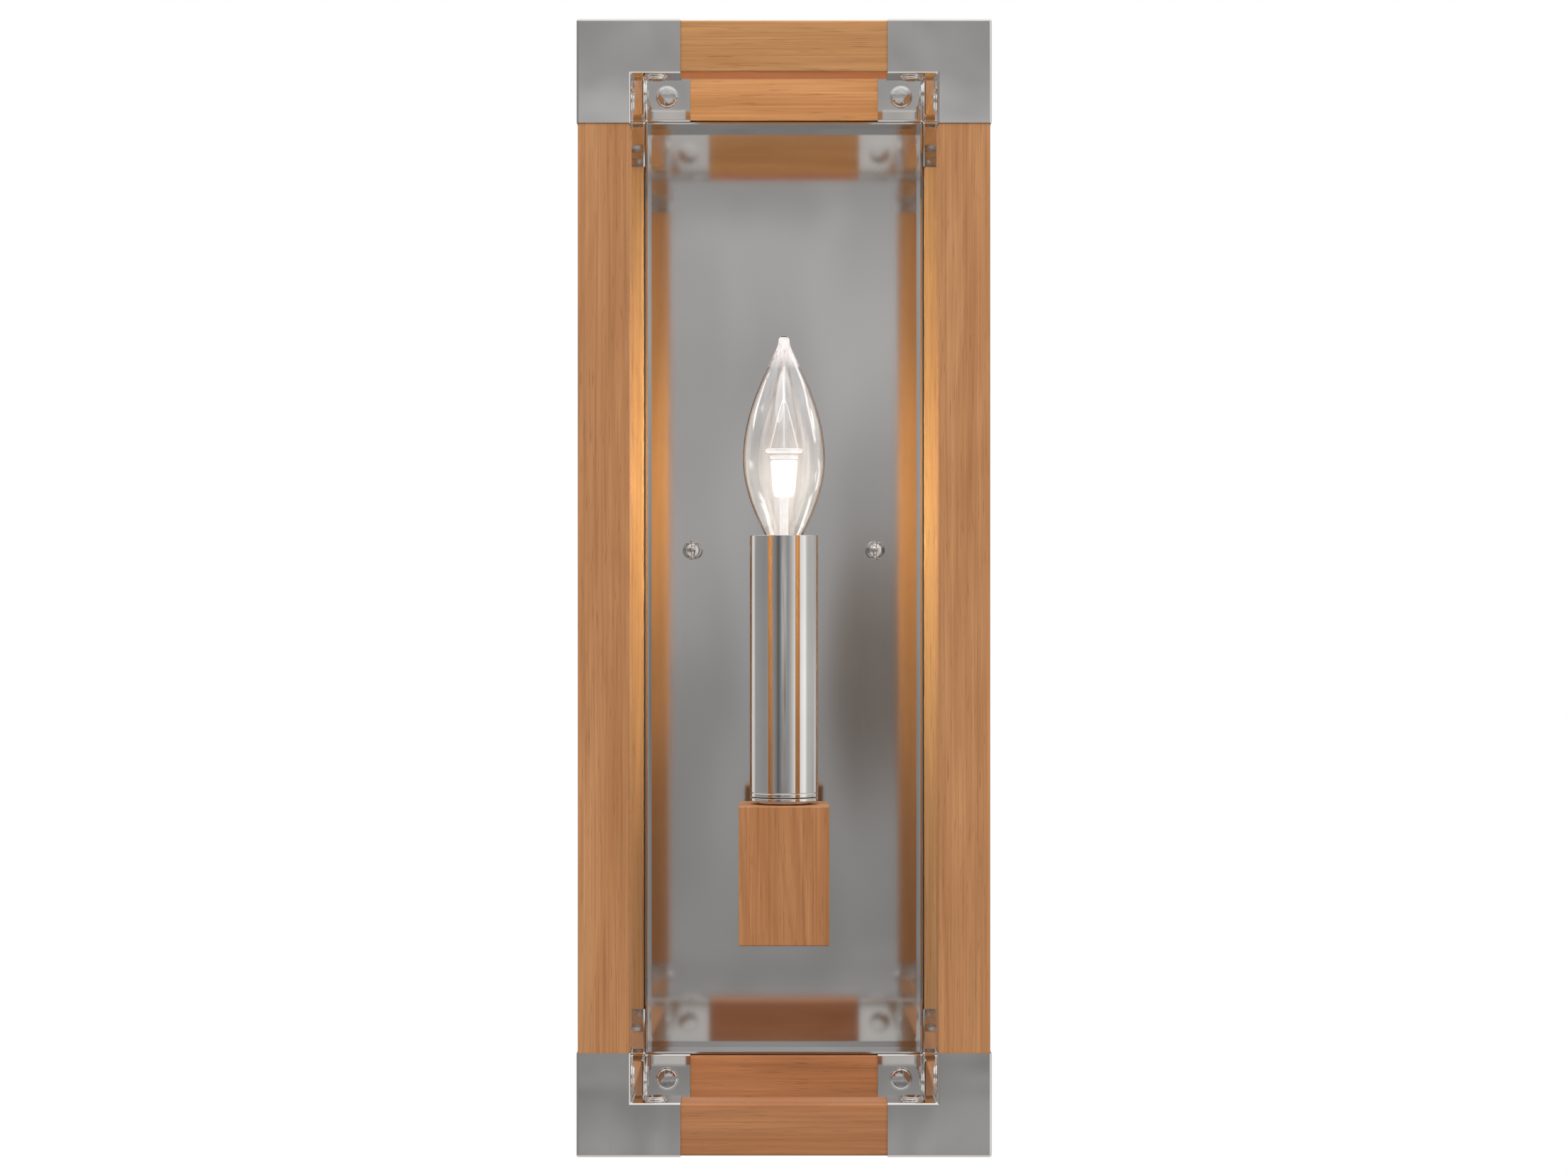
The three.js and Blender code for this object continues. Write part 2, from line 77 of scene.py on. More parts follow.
CAGE_LOW = box_of("front_left_post")[0]
CAGE_HIGH = box_of("rear_right_post")[1]
CAGE_MIDDLE = (CAGE_LOW + CAGE_HIGH) / 2
BAR = extent("front_left_post").x
BRACKET_ARM = extent("front_top_left_bracket").x
BRACKET_PROUD = CAGE_LOW.x - box_of("front_top_left_bracket")[0].x
CANDLE = middle("candle_sleeve")

# ---- Sizes of details that the CAD leaves plain
BRACKET_SHEET = 0.4 * MM
BRACKET_EDGE = 0.9 * MM
SCREW_SPREAD = 1.18              # width of a shown screw head over the CAD's
BAR_EDGE = 0.8 * MM
BLOCK_EDGE = 0.5 * MM
PAN_SHEET = 0.8 * MM
PAN_EDGE = 0.35 * MM
PAN_BEND = 0.7 * MM
PAN_GRID = (30, 80)              # faces across and up the pan's floor
PAN_CROWN_SLOPE = 0.0175         # fall of the pan's floor towards its edges
PAN_CROWN_FLAT = 25 * MM         # width of the sloping border
PAN_CROWN_EASE = 25 * MM         # width over which the slope fades out
SLEEVE_WALL = 1.2 * MM
NIPPLE_HOLE = 5.15 * MM          # radius of the hole for the threaded nipple
GLASS_WALL = 0.5 * MM
GLOW_SKIN_INSET = 1.3 * GLASS_WALL    # from the bulb's outside in to its inner skin of painted glow
BULB_NECK = 5.9 * MM             # radius
BULB_WIDEST = 32.3 * MM          # from the bulb's lower end up to its widest place
BULB_FULLNESS = 0.93             # below 1, its upper half is fuller than a cosine
TIP_BLUNT = 2.1 * MM             # radius of its rounded tip
BLOOM_DEPTH = 12 * MM            # from the tip down to where its painted bloom of light ends
THREAD_DEPTH = 0.3 * MM
PIPE_PITCH = 0.94 * MM           # threads of the nipple and the arm
STUD_PITCH = 0.8 * MM
LAMP_PITCH = 2.54 * MM
ROUND_STEPS = 96
SMALL_STEPS = 48
FILLET_STEPS = 5
ON_AXIS = 1e-7                   # a radius below this is a point on the axis
UNLIT = 0.03                     # share of its colour that a glowing part reflects

# ---- Sizes of the studio
FLOOR_DROP = 0.9                 # from the cage down to the floor
CAMERA_DISTANCE = 1.3228         # from the cage's front face
SENSOR_WIDTH = 36                # mm, as is the lens
LENS = 82.96


# ---- Mesh helpers
def new_object(name, mesh, body, node, material):
    """A shown piece that rides on a body, and stands for a CAD node if one is given."""
    piece = bpy.data.objects.new(name, mesh)
    bpy.context.scene.collection.objects.link(piece)
    mesh.materials.append(material)
    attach(piece, body)
    if node:
        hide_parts(node)
    return piece


def mesh_of(bm, name):
    bmesh.ops.recalc_face_normals(bm, faces=bm.faces)
    mesh = bpy.data.meshes.new(name)
    bm.to_mesh(mesh)
    bm.free()
    mesh.shade_smooth()
    return mesh


def flat_faces(piece):
    """Keeps the flat faces flat beside their rounded edges."""
    piece.modifiers.new("normals", "WEIGHTED_NORMAL").keep_sharp = True


def thicken(piece, thickness):
    """Turns a surface into a sheet, whose outside stays where the surface is."""
    sheet = piece.modifiers.new("sheet", "SOLIDIFY")
    sheet.thickness = thickness
    sheet.offset = -1
    sheet.use_even_offset = True


def ease_edges(piece, width, segments):
    edge = piece.modifiers.new("edge", "BEVEL")
    edge.width = width
    edge.segments = segments
    edge.limit_method = "ANGLE"
    edge.angle_limit = math.radians(60)


def rounded_box(name, node, edge):
    """A block as large as a CAD node, with rounded edges."""
    bm = bmesh.new()
    place = Matrix.Translation(middle(node))
    bmesh.ops.create_cube(bm, size=1, matrix=place @ Matrix.Diagonal((*extent(node), 1)))
    bmesh.ops.bevel(bm, geom=bm.edges[:], offset=edge, segments=3, profile=0.5, affect="EDGES")
    return mesh_of(bm, name)


def filleted(points, radius):
    """An outline of [radius, height] points, its corners rounded between the two ends."""
    outline = [Vector(points[0])]
    for before, corner, after in zip(points, points[1:], points[2:]):
        before, corner, after = Vector(before), Vector(corner), Vector(after)
        reach = min(radius, (before - corner).length * 0.45, (after - corner).length * 0.45)
        start = corner + (before - corner).normalized() * reach
        end = corner + (after - corner).normalized() * reach
        for step in range(FILLET_STEPS + 1):
            t = step / FILLET_STEPS
            outline.append(start.lerp(corner, t).lerp(corner.lerp(end, t), t))
    outline.append(Vector(points[-1]))
    return outline


def lathe(name, outline, centre=(0, 0, 0), axis="Z", steps=ROUND_STEPS, closed=False):
    """A turned mesh about an axis through centre, from [radius, height] points. A radius may be
    a function of the angle."""
    bm = bmesh.new()
    rings = []
    for radius, height in outline:
        if not callable(radius) and radius < ON_AXIS:
            rings.append([bm.verts.new((0, 0, height))])
            continue
        ring = []
        for i in range(steps):
            angle = 2 * math.pi * i / steps
            reach = radius(angle) if callable(radius) else radius
            ring.append(bm.verts.new((reach * math.cos(angle), reach * math.sin(angle), height)))
        rings.append(ring)
    pairs = list(zip(rings, rings[1:]))
    if closed:
        pairs.append((rings[-1], rings[0]))
    for lower, upper in pairs:
        for i in range(steps):
            j = (i + 1) % steps
            if len(lower) == 1 and len(upper) == 1:
                continue
            if len(lower) == 1:
                bm.faces.new((lower[0], upper[j], upper[i]))
            elif len(upper) == 1:
                bm.faces.new((lower[i], lower[j], upper[0]))
            else:
                bm.faces.new((lower[i], lower[j], upper[j], upper[i]))
    turn = {
        "Z": Matrix.Identity(3),
        "-Z": Matrix.Rotation(math.pi, 3, "X"),
        "Y": Matrix.Rotation(-math.pi / 2, 3, "X"),
        "-Y": Matrix.Rotation(math.pi / 2, 3, "X"),
        "X": Matrix.Rotation(math.pi / 2, 3, "Y"),
        "-X": Matrix.Rotation(-math.pi / 2, 3, "Y"),
    }[axis]
    bm.transform(Matrix.Translation(centre) @ turn.to_4x4())
    return mesh_of(bm, name)


def thread(radius, start, end, pitch, depth=THREAD_DEPTH):
    """Outline points of a single-start thread that runs up to radius between two heights."""
    count = max(2, round((end - start) / pitch * 6))
    points = []
    for i in range(count + 1):
        height = start + (end - start) * i / count
        fade = min(1.0, (height - start) / pitch, (end - height) / pitch)
        points.append((
            lambda angle, height=height, fade=fade: radius - depth * fade * (
                0.5 + 0.5 * math.cos(2 * math.pi * height / pitch - angle)),
            height))
    return points


# ---- Material helpers
class Nodes:
    """A material's node tree, with short calls that add and link nodes."""

    def __init__(self, name):
        self.material = bpy.data.materials.new(name)
        self.material.use_nodes = True
        self.tree = self.material.node_tree
        self.shader = self.tree.nodes["Principled BSDF"]

    def add(self, kind, **settings):
        node = self.tree.nodes.new("ShaderNode" + kind)
        for key, value in settings.items():
            setattr(node, key, value)
        return node

    def link(self, source, target):
        self.tree.links.new(source, target)

    def place(self, scale, offset=(0, 0, 0)):
        """The object's own coordinates, stretched and shifted."""
        coordinates = self.add("TexCoord")
        mapping = self.add("Mapping")
        mapping.inputs["Scale"].default_value = scale
        mapping.inputs["Location"].default_value = offset
        self.link(coordinates.outputs["Object"], mapping.inputs["Vector"])
        return mapping.outputs["Vector"]

    def noise(self, scale, offset=(0, 0, 0), detail=3.0, roughness=0.5, distortion=0.0):
        node = self.add("TexNoise")
        node.inputs["Scale"].default_value = 1.0
        node.inputs["Detail"].default_value = detail
        node.inputs["Roughness"].default_value = roughness
        node.inputs["Distortion"].default_value = distortion
        self.link(self.place(scale, offset), node.inputs["Vector"])
        return node.outputs["Fac"]

    def math(self, operation, first, second=None):
        node = self.add("Math", operation=operation)
        for socket, value in zip(node.inputs, (first, second)):
            if value is None:
                continue
            if isinstance(value, (int, float)):
                socket.default_value = value
            else:
                self.link(value, socket)
        return node.outputs[0]

    def spread(self, value, low, high, start=0.0, end=1.0):
        node = self.add("MapRange")
        self.link(value, node.inputs["Value"])
        limits = {"From Min": low, "From Max": high, "To Min": start, "To Max": end}
        for key, number in limits.items():
            node.inputs[key].default_value = number
        return node.outputs["Result"]

    def ramp(self, value, stops):
        node = self.add("ValToRGB")
        ramp = node.color_ramp
        while len(ramp.elements) < len(stops):
            ramp.elements.new(0.5)
        for element, (position, colour) in zip(ramp.elements, stops):
            element.position = position
            element.color = (*colour, 1)
        self.link(value, node.inputs["Fac"])
        return node.outputs["Color"]

    def mix(self, factor, first, second, blend="MIX"):
        node = self.add("Mix", data_type="RGBA", blend_type=blend)
        for socket, value in zip((node.inputs[0], node.inputs[6], node.inputs[7]),
                                 (factor, first, second)):
            if isinstance(value, (int, float)):
                socket.default_value = value
            elif isinstance(value, tuple):
                socket.default_value = (*value, 1)
            else:
                self.link(value, socket)
        return node.outputs[2]

    def gray(self, value):
        """A colour with the value in all three channels."""
        node = self.add("CombineColor")
        for socket in node.inputs:
            self.link(value, socket)
        return node.outputs[0]

    def bump(self, height, distance, strength):
        node = self.add("Bump")
        node.inputs["Distance"].default_value = distance
        node.inputs["Strength"].default_value = strength
        self.link(height, node.inputs["Height"])
        self.link(node.outputs["Normal"], self.shader.inputs["Normal"])

    def set(self, **values):
        for key, value in values.items():
            self.shader.inputs[key.replace("_", " ")].default_value = value


def stretched(along, across, lengthwise):
    scale = [across] * 3
    scale[ALONG[along]] = lengthwise
    return tuple(scale)


# ---- Materials
def wood(name, along, seed, tint=(1, 1, 1), swirl=0.6, face=None):
    """Satin-lacquered honey-brown wood whose grain runs along one axis. A larger swirl bends its
    figure more. The face that points one way may take a tint of painted light or shade:
    (axis, sign, tint)."""
    m = Nodes(name)
    shift = (seed * 3.7, seed * 5.3, seed * 7.9)

    def tinted(*colour):
        return tuple(c * t for c, t in zip(colour, tint))

    figure = m.noise(stretched(along, 30, 2.2), shift, detail=2, distortion=swirl)
    lines = m.math("PINGPONG", m.math("MULTIPLY", figure, 11.0), 0.5)
    lines = m.spread(lines, 0.0, 0.5)
    drift = m.noise(stretched(along, 80, 5), shift, detail=4)
    fibre = m.noise(stretched(along, 1500, 16), shift, detail=3, roughness=0.65)
    coarse = m.noise(stretched(along, 650, 9), shift, detail=2)
    streaks = m.spread(m.noise(stretched(along, 760, 8), shift, detail=3), 0.60, 0.72)
    pores = m.spread(m.noise(stretched(along, 2300, 90), shift, detail=1), 0.63, 0.74)
    base = m.ramp(drift, [
        (0.28, tinted(0.383, 0.172, 0.067)),
        (0.50, tinted(0.454, 0.215, 0.090)),
        (0.74, tinted(0.524, 0.267, 0.118)),
    ])
    line_depth = m.math("MULTIPLY", lines, 0.16 + 0.07 * swirl)
    lined = m.mix(line_depth, base, tinted(0.28, 0.105, 0.036))
    tone = m.math("MULTIPLY", m.spread(coarse, 0.3, 0.7, 0.93, 1.06),
                  m.spread(fibre, 0.25, 0.75, 0.80, 1.18))
    shaded = m.mix(1.0, lined, m.gray(tone), "MULTIPLY")
    streaked = m.mix(m.math("MULTIPLY", streaks, 0.24), shaded, tinted(0.25, 0.088, 0.030))
    coloured = m.mix(m.math("MULTIPLY", pores, 0.36), streaked, (0.15, 0.055, 0.022))
    # The one face's tint is painted shade or painted light.
    if face:
        axis, sign, painted_face_tint = face
        split = m.add("SeparateXYZ")
        m.link(m.add("TexCoord").outputs["Normal"], split.inputs[0])
        painted_face_mask = m.spread(split.outputs[axis], sign * 0.5, sign * 0.8)
        coloured = m.mix(painted_face_mask, coloured, m.mix(1.0, coloured, painted_face_tint, "MULTIPLY"))
    m.link(coloured, m.shader.inputs["Base Color"])
    m.link(m.spread(fibre, 0.2, 0.8, 0.42, 0.56), m.shader.inputs["Roughness"])
    m.bump(m.math("SUBTRACT", fibre, pores), 0.03 * MM, 0.5)
    m.set(Specular_IOR_Level=0.22)
    return m.material


def metal(name, cloud_scale, dark, light, roughness, wipe_scale, wipe, wave=0.0):
    """Plated metal: a faint cloudiness in its colour, and wiping marks in its gloss. With a wave
    its surface is slightly uneven."""
    m = Nodes(name)
    cloud = m.noise(cloud_scale, detail=3)
    marks = m.noise(wipe_scale, detail=2)
    m.link(m.ramp(cloud, [(0.3, dark), (0.7, light)]), m.shader.inputs["Base Color"])
    wiped = m.spread(marks, 0.45, 0.8, 0, wipe)
    m.link(m.math("ADD", m.spread(cloud, 0.3, 0.7, *roughness), wiped),
           m.shader.inputs["Roughness"])
    if wave:
        m.bump(m.noise((60, 60, 60), detail=1), wave, 0.5)
    else:
        m.bump(marks, 0.002 * MM, 0.3)
    m.set(Metallic=1.0)
    return m.material


def socket_plastic():
    m = Nodes("socket_plastic")
    mottle = m.noise((240, 240, 240), detail=4)
    m.link(m.ramp(mottle, [(0.3, (0.70, 0.67, 0.58)), (0.7, (0.80, 0.78, 0.70))]),
           m.shader.inputs["Base Color"])
    m.link(m.spread(mottle, 0.3, 0.7, 0.45, 0.6), m.shader.inputs["Roughness"])
    m.bump(mottle, 0.03 * MM, 0.4)
    return m.material


def clear_glass():
    m = Nodes("lamp_glass")
    waves = m.noise((90, 90, 30), detail=2)
    m.link(m.spread(waves, 0.3, 0.7, 0.0, 0.015), m.shader.inputs["Roughness"])
    m.bump(waves, 0.04 * MM, 0.4)
    m.set(Base_Color=(1, 1, 1, 1), Transmission_Weight=1.0, IOR=1.46)
    return m.material


def glow(name, colour, strength):
    """A part that shines by itself: the burner, and glass lit by it, whose glow is painted."""
    m = Nodes(name)
    grain = m.noise((400, 400, 400), detail=2)
    m.link(m.ramp(grain, [(0.3, tuple(0.86 * c for c in colour)), (0.7, colour)]),
           m.shader.inputs["Emission Color"])
    m.link(m.spread(grain, 0.3, 0.7, 0.25, 0.4), m.shader.inputs["Roughness"])
    m.set(Base_Color=(*(UNLIT * c for c in colour), 1), Emission_Strength=strength)
    return m.material


def lit_veil(name, colour, strength, thin, dense, streak):
    """A see-through skin that shines faintly in upright streaks, for glass close to the light:
    painted glow.
    """
    m = Nodes(name)
    cloud = m.noise((150, 150, 26), detail=3, roughness=0.6)
    upright = m.noise(streak, detail=2)
    amount = m.math("MULTIPLY", m.spread(cloud, 0.3, 0.7, thin, dense),
                    m.spread(upright, 0.35, 0.7, 0.6, 1.5))
    m.link(m.math("MINIMUM", amount, 1.0), m.shader.inputs["Alpha"])
    m.link(m.ramp(cloud, [(0.3, tuple(0.9 * c for c in colour)), (0.7, colour)]),
           m.shader.inputs["Emission Color"])
    m.link(m.spread(upright, 0.3, 0.7, 0.2, 0.35), m.shader.inputs["Roughness"])
    m.set(Base_Color=(*(UNLIT * c for c in colour), 1), Emission_Strength=strength)
    return m.material


def lamp_painted_glow(tip, halo_middle):
    """A see-through skin of painted glow, for the bulb's inner surface and its tip: painted glints
    near its edges, a painted bloom under the tip, a painted halo about the height halo_middle
    and a faint painted haze all over."""
    m = Nodes("lamp_painted_glow")
    split = m.add("SeparateXYZ")
    m.link(m.place((1, 1, 1)), split.inputs[0])
    height = split.outputs["Z"]
    weight = m.add("LayerWeight")
    weight.inputs["Blend"].default_value = 0.5
    facing = weight.outputs["Facing"]
    wander = m.spread(m.noise((55, 55, 30), (0.7, 0.1, 0.5), detail=1), 0.3, 0.7, -0.17, 0.17)
    # Painted glints: a bright ring near the outline, where the glass would mirror bright things,
    # broken into patches.
    edge = m.ramp(m.math("ADD", facing, wander), [
        (0.0, (0, 0, 0)), (0.40, (0, 0, 0)), (0.44, (1, 1, 1)), (0.50, (1, 1, 1)),
        (0.54, (0.10, 0.10, 0.10)), (0.75, (0.05, 0.05, 0.05)), (1.0, (0.05, 0.05, 0.05))])
    glint = m.spread(m.noise((60, 60, 62), (0.3, 0.4, 0.1), detail=1), 0.47, 0.52)
    streaks = m.noise((900, 900, 12), (0.2, 0.6, 0.0), detail=2)
    # Painted bloom under the tip, painted halo level with the burner and painted haze over all.
    painted_bloom = m.math("MULTIPLY", m.spread(height, tip - BLOOM_DEPTH, tip - 2 * MM, 0.0, 0.75),
                   m.spread(streaks, 0.42, 0.58, 0.12, 1.0))
    level = m.spread(m.math("ABSOLUTE", m.math("SUBTRACT", height, halo_middle)), 0, 16 * MM, 1, 0)
    central = m.math("POWER", m.math("SUBTRACT", 1.0, facing), 2.0)
    painted_halo = m.math("MULTIPLY", m.math("MULTIPLY", level, central), 0.22)
    haze = m.math("MULTIPLY", m.spread(streaks, 0.35, 0.7, 0.6, 1.4),
                  m.spread(m.noise((150, 150, 26), detail=3), 0.3, 0.7, 0.02, 0.09))
    painted_glints = m.math("MULTIPLY", m.math("MULTIPLY", edge, glint), 0.95)
    amount = m.math("ADD", m.math("ADD", haze, painted_halo), m.math("ADD", painted_bloom, painted_glints))
    m.link(m.math("MINIMUM", amount, 1.0), m.shader.inputs["Alpha"])
    m.link(m.ramp(streaks, [(0.35, (0.96, 0.84, 0.80)), (0.65, (1.0, 0.95, 0.93))]),
           m.shader.inputs["Emission Color"])
    m.link(m.spread(streaks, 0.3, 0.7, 0.2, 0.35), m.shader.inputs["Roughness"])
    m.set(Base_Color=(UNLIT, UNLIT, UNLIT, 1), Emission_Strength=0.98)
    return m.material


NICKEL = metal("polished_nickel", (28, 28, 28), (0.66, 0.64, 0.62), (0.73, 0.71, 0.69),
               (0.03, 0.05), (700, 700, 160), 0.015, wave=0.02 * MM)
SLEEVE_NICKEL = metal("sleeve_nickel", (28, 28, 28), (0.66, 0.64, 0.62), (0.73, 0.71, 0.69),
                      (0.03, 0.045), (700, 700, 160), 0.015)
DARK_NICKEL = metal("cap_nut_nickel", (200, 200, 200), (0.44, 0.43, 0.42), (0.60, 0.59, 0.58),
                    (0.03, 0.06), (900, 900, 900), 0.03)
SATIN = metal("satin_nickel", (14, 14, 9), (0.62, 0.605, 0.595), (0.67, 0.66, 0.65),
              (0.065, 0.075), (2600, 2600, 30), 0.006)
STEEL = metal("zinc_steel", (160, 160, 160), (0.42, 0.43, 0.45), (0.58, 0.59, 0.60),
              (0.28, 0.42), (90, 900, 2400), 0.1)
CAP = metal("lamp_cap", (300, 300, 300), (0.60, 0.54, 0.42), (0.76, 0.71, 0.60),
            (0.18, 0.34), (500, 500, 900), 0.05)
PHENOLIC = socket_plastic()
GLASS = clear_glass()
BURNER = glow("lamp_burner", (1.0, 0.96, 0.91), 1.35)
# Painted glow: glass lit by the burner shines by itself, and the dark tip cap very faintly.
LIT_GLASS = glow("lamp_lit_glass", (1.0, 0.95, 0.93), 0.92)
DARK_GLASS = glow("lamp_dark_glass", (0.30, 0.28, 0.27), 0.03)
# Painted glow in soft skins about the burner, its stem and the cone.
SHEATH = lit_veil("lamp_sheath", (1.0, 0.88, 0.84), 0.80, 0.08, 0.20, (900, 900, 20))


# ---- Cage
# Tints that bring a bar close to its shade in the photo. Other bars keep the plain colour.
# They are partly the bars' own tone and partly painted light and shade: the top rails lighter, the
# front bottom rail and the rear posts darker.
BAR_TONES_AND_SHADES = {
    "front_top_rail": (1.07, 1.13, 1.07), "front_bottom_rail": (0.88, 0.79, 0.80),
    "rear_top_rail": (1.08, 1.13, 1.12), "rear_bottom_rail": (1.14, 0.95, 0.90),
    "rear_left_post": (0.84, 0.90, 0.90), "rear_right_post": (0.84, 0.94, 0.96),
}
# Painted shade or light on one face of a rail, darker under the front top rail and lighter on
# the front bottom rail's rear face: (axis, sign, tint).
FACE_LIGHT_AND_SHADE = {
    "front_top_rail": ("Z", -1, (0.78, 0.52, 0.46)),
    "front_bottom_rail": ("Y", 1, (1.55, 1.55, 1.75)),
}


def add_bars():
    bars = [(f"{end}_{side}_post", "Z") for end in ENDS for side in SIDES]
    bars += [(f"{end}_{level}_rail", "X") for end in ENDS for level in LEVELS]
    bars += [(f"{side}_{level}_rail", "Y") for side in SIDES for level in LEVELS]
    for seed, (node, along) in enumerate(bars):
        mesh = rounded_box(node + "_wood", node, BAR_EDGE)
        material = wood(f"wood_{node}", along, seed + 1, BAR_TONES_AND_SHADES.get(node, (1, 1, 1)),
                        face=FACE_LIGHT_AND_SHADE.get(node))
        flat_faces(new_object(node + "_bar", mesh, "root", node, material))


def bracket_mesh(name, signs):
    """Three open square sockets that meet at a corner, as one shell of bent sheet."""
    bm = bmesh.new()
    end = BRACKET_ARM - BRACKET_PROUD
    stops = (-BRACKET_PROUD, BAR + BRACKET_PROUD, end)
    corner = Vector([CAGE_LOW[i] if signs[i] < 0 else CAGE_HIGH[i] for i in range(3)])
    made = {}

    def vertex(i, j, k):
        if (i, j, k) not in made:
            inward = Vector((stops[i], stops[j], stops[k]))
            made[i, j, k] = bm.verts.new([c - s * d for c, s, d in zip(corner, signs, inward)])
        return made[i, j, k]

    def face(*keys):
        bm.faces.new([vertex(*key) for key in keys])

    # Each pair of axes a and b lies in the planes where the third axis c is at its outer or
    # inner stop. A side of an arm is the strip from stop 1 to stop 2 along the arm.
    for c in range(3):
        a, b = [axis for axis in range(3) if axis != c]

        def key(u, v, w):
            spot = [0, 0, 0]
            spot[a], spot[b], spot[c] = u, v, w
            return tuple(spot)

        face(key(0, 0, 0), key(1, 0, 0), key(1, 1, 0), key(0, 1, 0))
        for w in (0, 1):
            face(key(1, 0, w), key(2, 0, w), key(2, 1, w), key(1, 1, w))
            face(key(0, 1, w), key(0, 2, w), key(1, 2, w), key(1, 1, w))
    bmesh.ops.recalc_face_normals(bm, faces=bm.faces)
    folds = [e for e in bm.edges if len(e.link_faces) == 2 and e.calc_face_angle() > 0.1]
    bmesh.ops.bevel(
        bm, geom=folds, offset=BRACKET_EDGE, segments=4, profile=0.5, affect="EDGES",
        clamp_overlap=True)
    return mesh_of(bm, name)


def screw_outline():
    """Half of a low round head: a thin flange under a flat button with a rounded rim."""
    radius = SCREW_SPREAD * extent("front_top_left_across_screw").x / 2
    button = 0.84 * radius
    sunk = -1.2 * MM
    flange = 0.4 * MM
    rise = 1.1 * MM
    return [
        (radius * 0.55, sunk), *filleted([
            (radius * 0.97, sunk), (radius, 0.0), (radius, flange), (button, flange),
            (button, rise), (0.0, rise + 0.05 * MM)], 0.3 * MM),
    ]


def add_corners():
    seat = BAR + BRACKET_PROUD
    station = (BAR + BRACKET_ARM - BRACKET_PROUD) / 2
    half = BAR / 2
    for end, b in ENDS.items():
        for level, c in LEVELS.items():
            for side, a in SIDES.items():
                name = f"{end}_{level}_{side}"
                mesh = bracket_mesh(name + "_shell", (a, b, c))
                shell = new_object(
                    name + "_corner", mesh, "root", name + "_bracket", NICKEL)
                thicken(shell, BRACKET_SHEET)
                flat_faces(shell)
                # For each head, where it sits inward of the outer corner and the way it faces.
                heads = {
                    "across": ((station, seat, half), (0, -b, 0)),
                    "upright": ((half, seat, station), (0, -b, 0)),
                    "depth": ((half, station, seat), (0, 0, -c)),
                    "depth_side": ((seat, station, half), (-a, 0, 0)),
                }
                if end == "front":
                    heads["across_under"] = ((station, half, seat), (0, 0, -c))
                    heads["upright_side"] = ((seat, half, station), (-a, 0, 0))
                corner = [CAGE_LOW[i] if s < 0 else CAGE_HIGH[i] for i, s in enumerate((a, b, c))]
                for arm, (inward, way) in heads.items():
                    spot = [p - s * d for p, s, d in zip(corner, (a, b, c), inward)]
                    axis = "XYZ"[[abs(v) for v in way].index(1)]
                    axis = axis if sum(way) > 0 else "-" + axis
                    head = lathe(f"{name}_{arm}_head", screw_outline(), spot, axis, SMALL_STEPS)
                    node = f"{name}_{arm}_screw"
                    new_object(f"{name}_{arm}_screw_head", head, "root",
                               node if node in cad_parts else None, NICKEL)


def crown_fall(inward):
    """How far the pan's floor has fallen, at a distance in from one of its edges."""
    if inward < PAN_CROWN_FLAT:
        return PAN_CROWN_SLOPE * (PAN_CROWN_FLAT - max(inward, 0.0) + PAN_CROWN_EASE / 2)
    rest = max(0.0, 1 - (inward - PAN_CROWN_FLAT) / PAN_CROWN_EASE)
    return PAN_CROWN_SLOPE * rest * rest * PAN_CROWN_EASE / 2


def spaced(low, high, margin, count):
    """Even stations with one more close to each end."""
    inner = [low + margin + (high - low - 2 * margin) * i / count for i in range(count + 1)]
    return [low, *inner, high]


def add_pan():
    """A shallow tray of thin sheet with small bend radii, its floor slightly crowned."""
    low, high = box_of("back_pan")
    columns = spaced(low.x, high.x, PAN_BEND + PAN_EDGE, PAN_GRID[0])
    rows = spaced(low.z, high.z, PAN_BEND + PAN_EDGE, PAN_GRID[1])
    bm = bmesh.new()
    floor = [[bm.verts.new((x, high.y, z)) for z in rows] for x in columns]
    for left, right in zip(floor, floor[1:]):
        for j in range(len(rows) - 1):
            bm.faces.new((left[j], right[j], right[j + 1], left[j + 1]))
    border = [e for e in bm.edges if len(e.link_faces) == 1]
    raised = bmesh.ops.extrude_edge_only(bm, edges=border)
    rim = [v for v in raised["geom"] if isinstance(v, bmesh.types.BMVert)]
    bmesh.ops.translate(bm, verts=rim, vec=(0, low.y - high.y, 0))
    bmesh.ops.recalc_face_normals(bm, faces=bm.faces)
    folds = [e for e in bm.edges if len(e.link_faces) == 2 and e.calc_face_angle() > 1.0]
    bmesh.ops.bevel(bm, geom=folds, offset=PAN_BEND, segments=4, profile=0.5, affect="EDGES")
    for v in bm.verts:
        if v.co.y > high.y - 1.2 * PAN_BEND:
            v.co.y += crown_fall(min(v.co.x - low.x, high.x - v.co.x))
            v.co.y += crown_fall(min(v.co.z - low.z, high.z - v.co.z))
    pan = new_object("back_pan_tray", mesh_of(bm, "back_pan_tray"), "root", "back_pan",
                     SATIN)
    thicken(pan, PAN_SHEET)
    ease_edges(pan, PAN_EDGE, 3)
    flat_faces(pan)


def add_block():
    mesh = rounded_box("candle_block_wood", "candle_block", BLOCK_EDGE)
    flat_faces(new_object("candle_block_bar", mesh, "root", "candle_block",
                          wood("wood_candle_block", "Z", 23, (1.06, 1.06, 1.05), swirl=1.9)))


# ---- Candle
def turned_piece(name, outline, node, body, material, centre, axis="Z",
                 steps=ROUND_STEPS, closed=False):
    mesh = lathe(name, outline, centre, axis, steps, closed)
    return new_object(name, mesh, body, node, material)


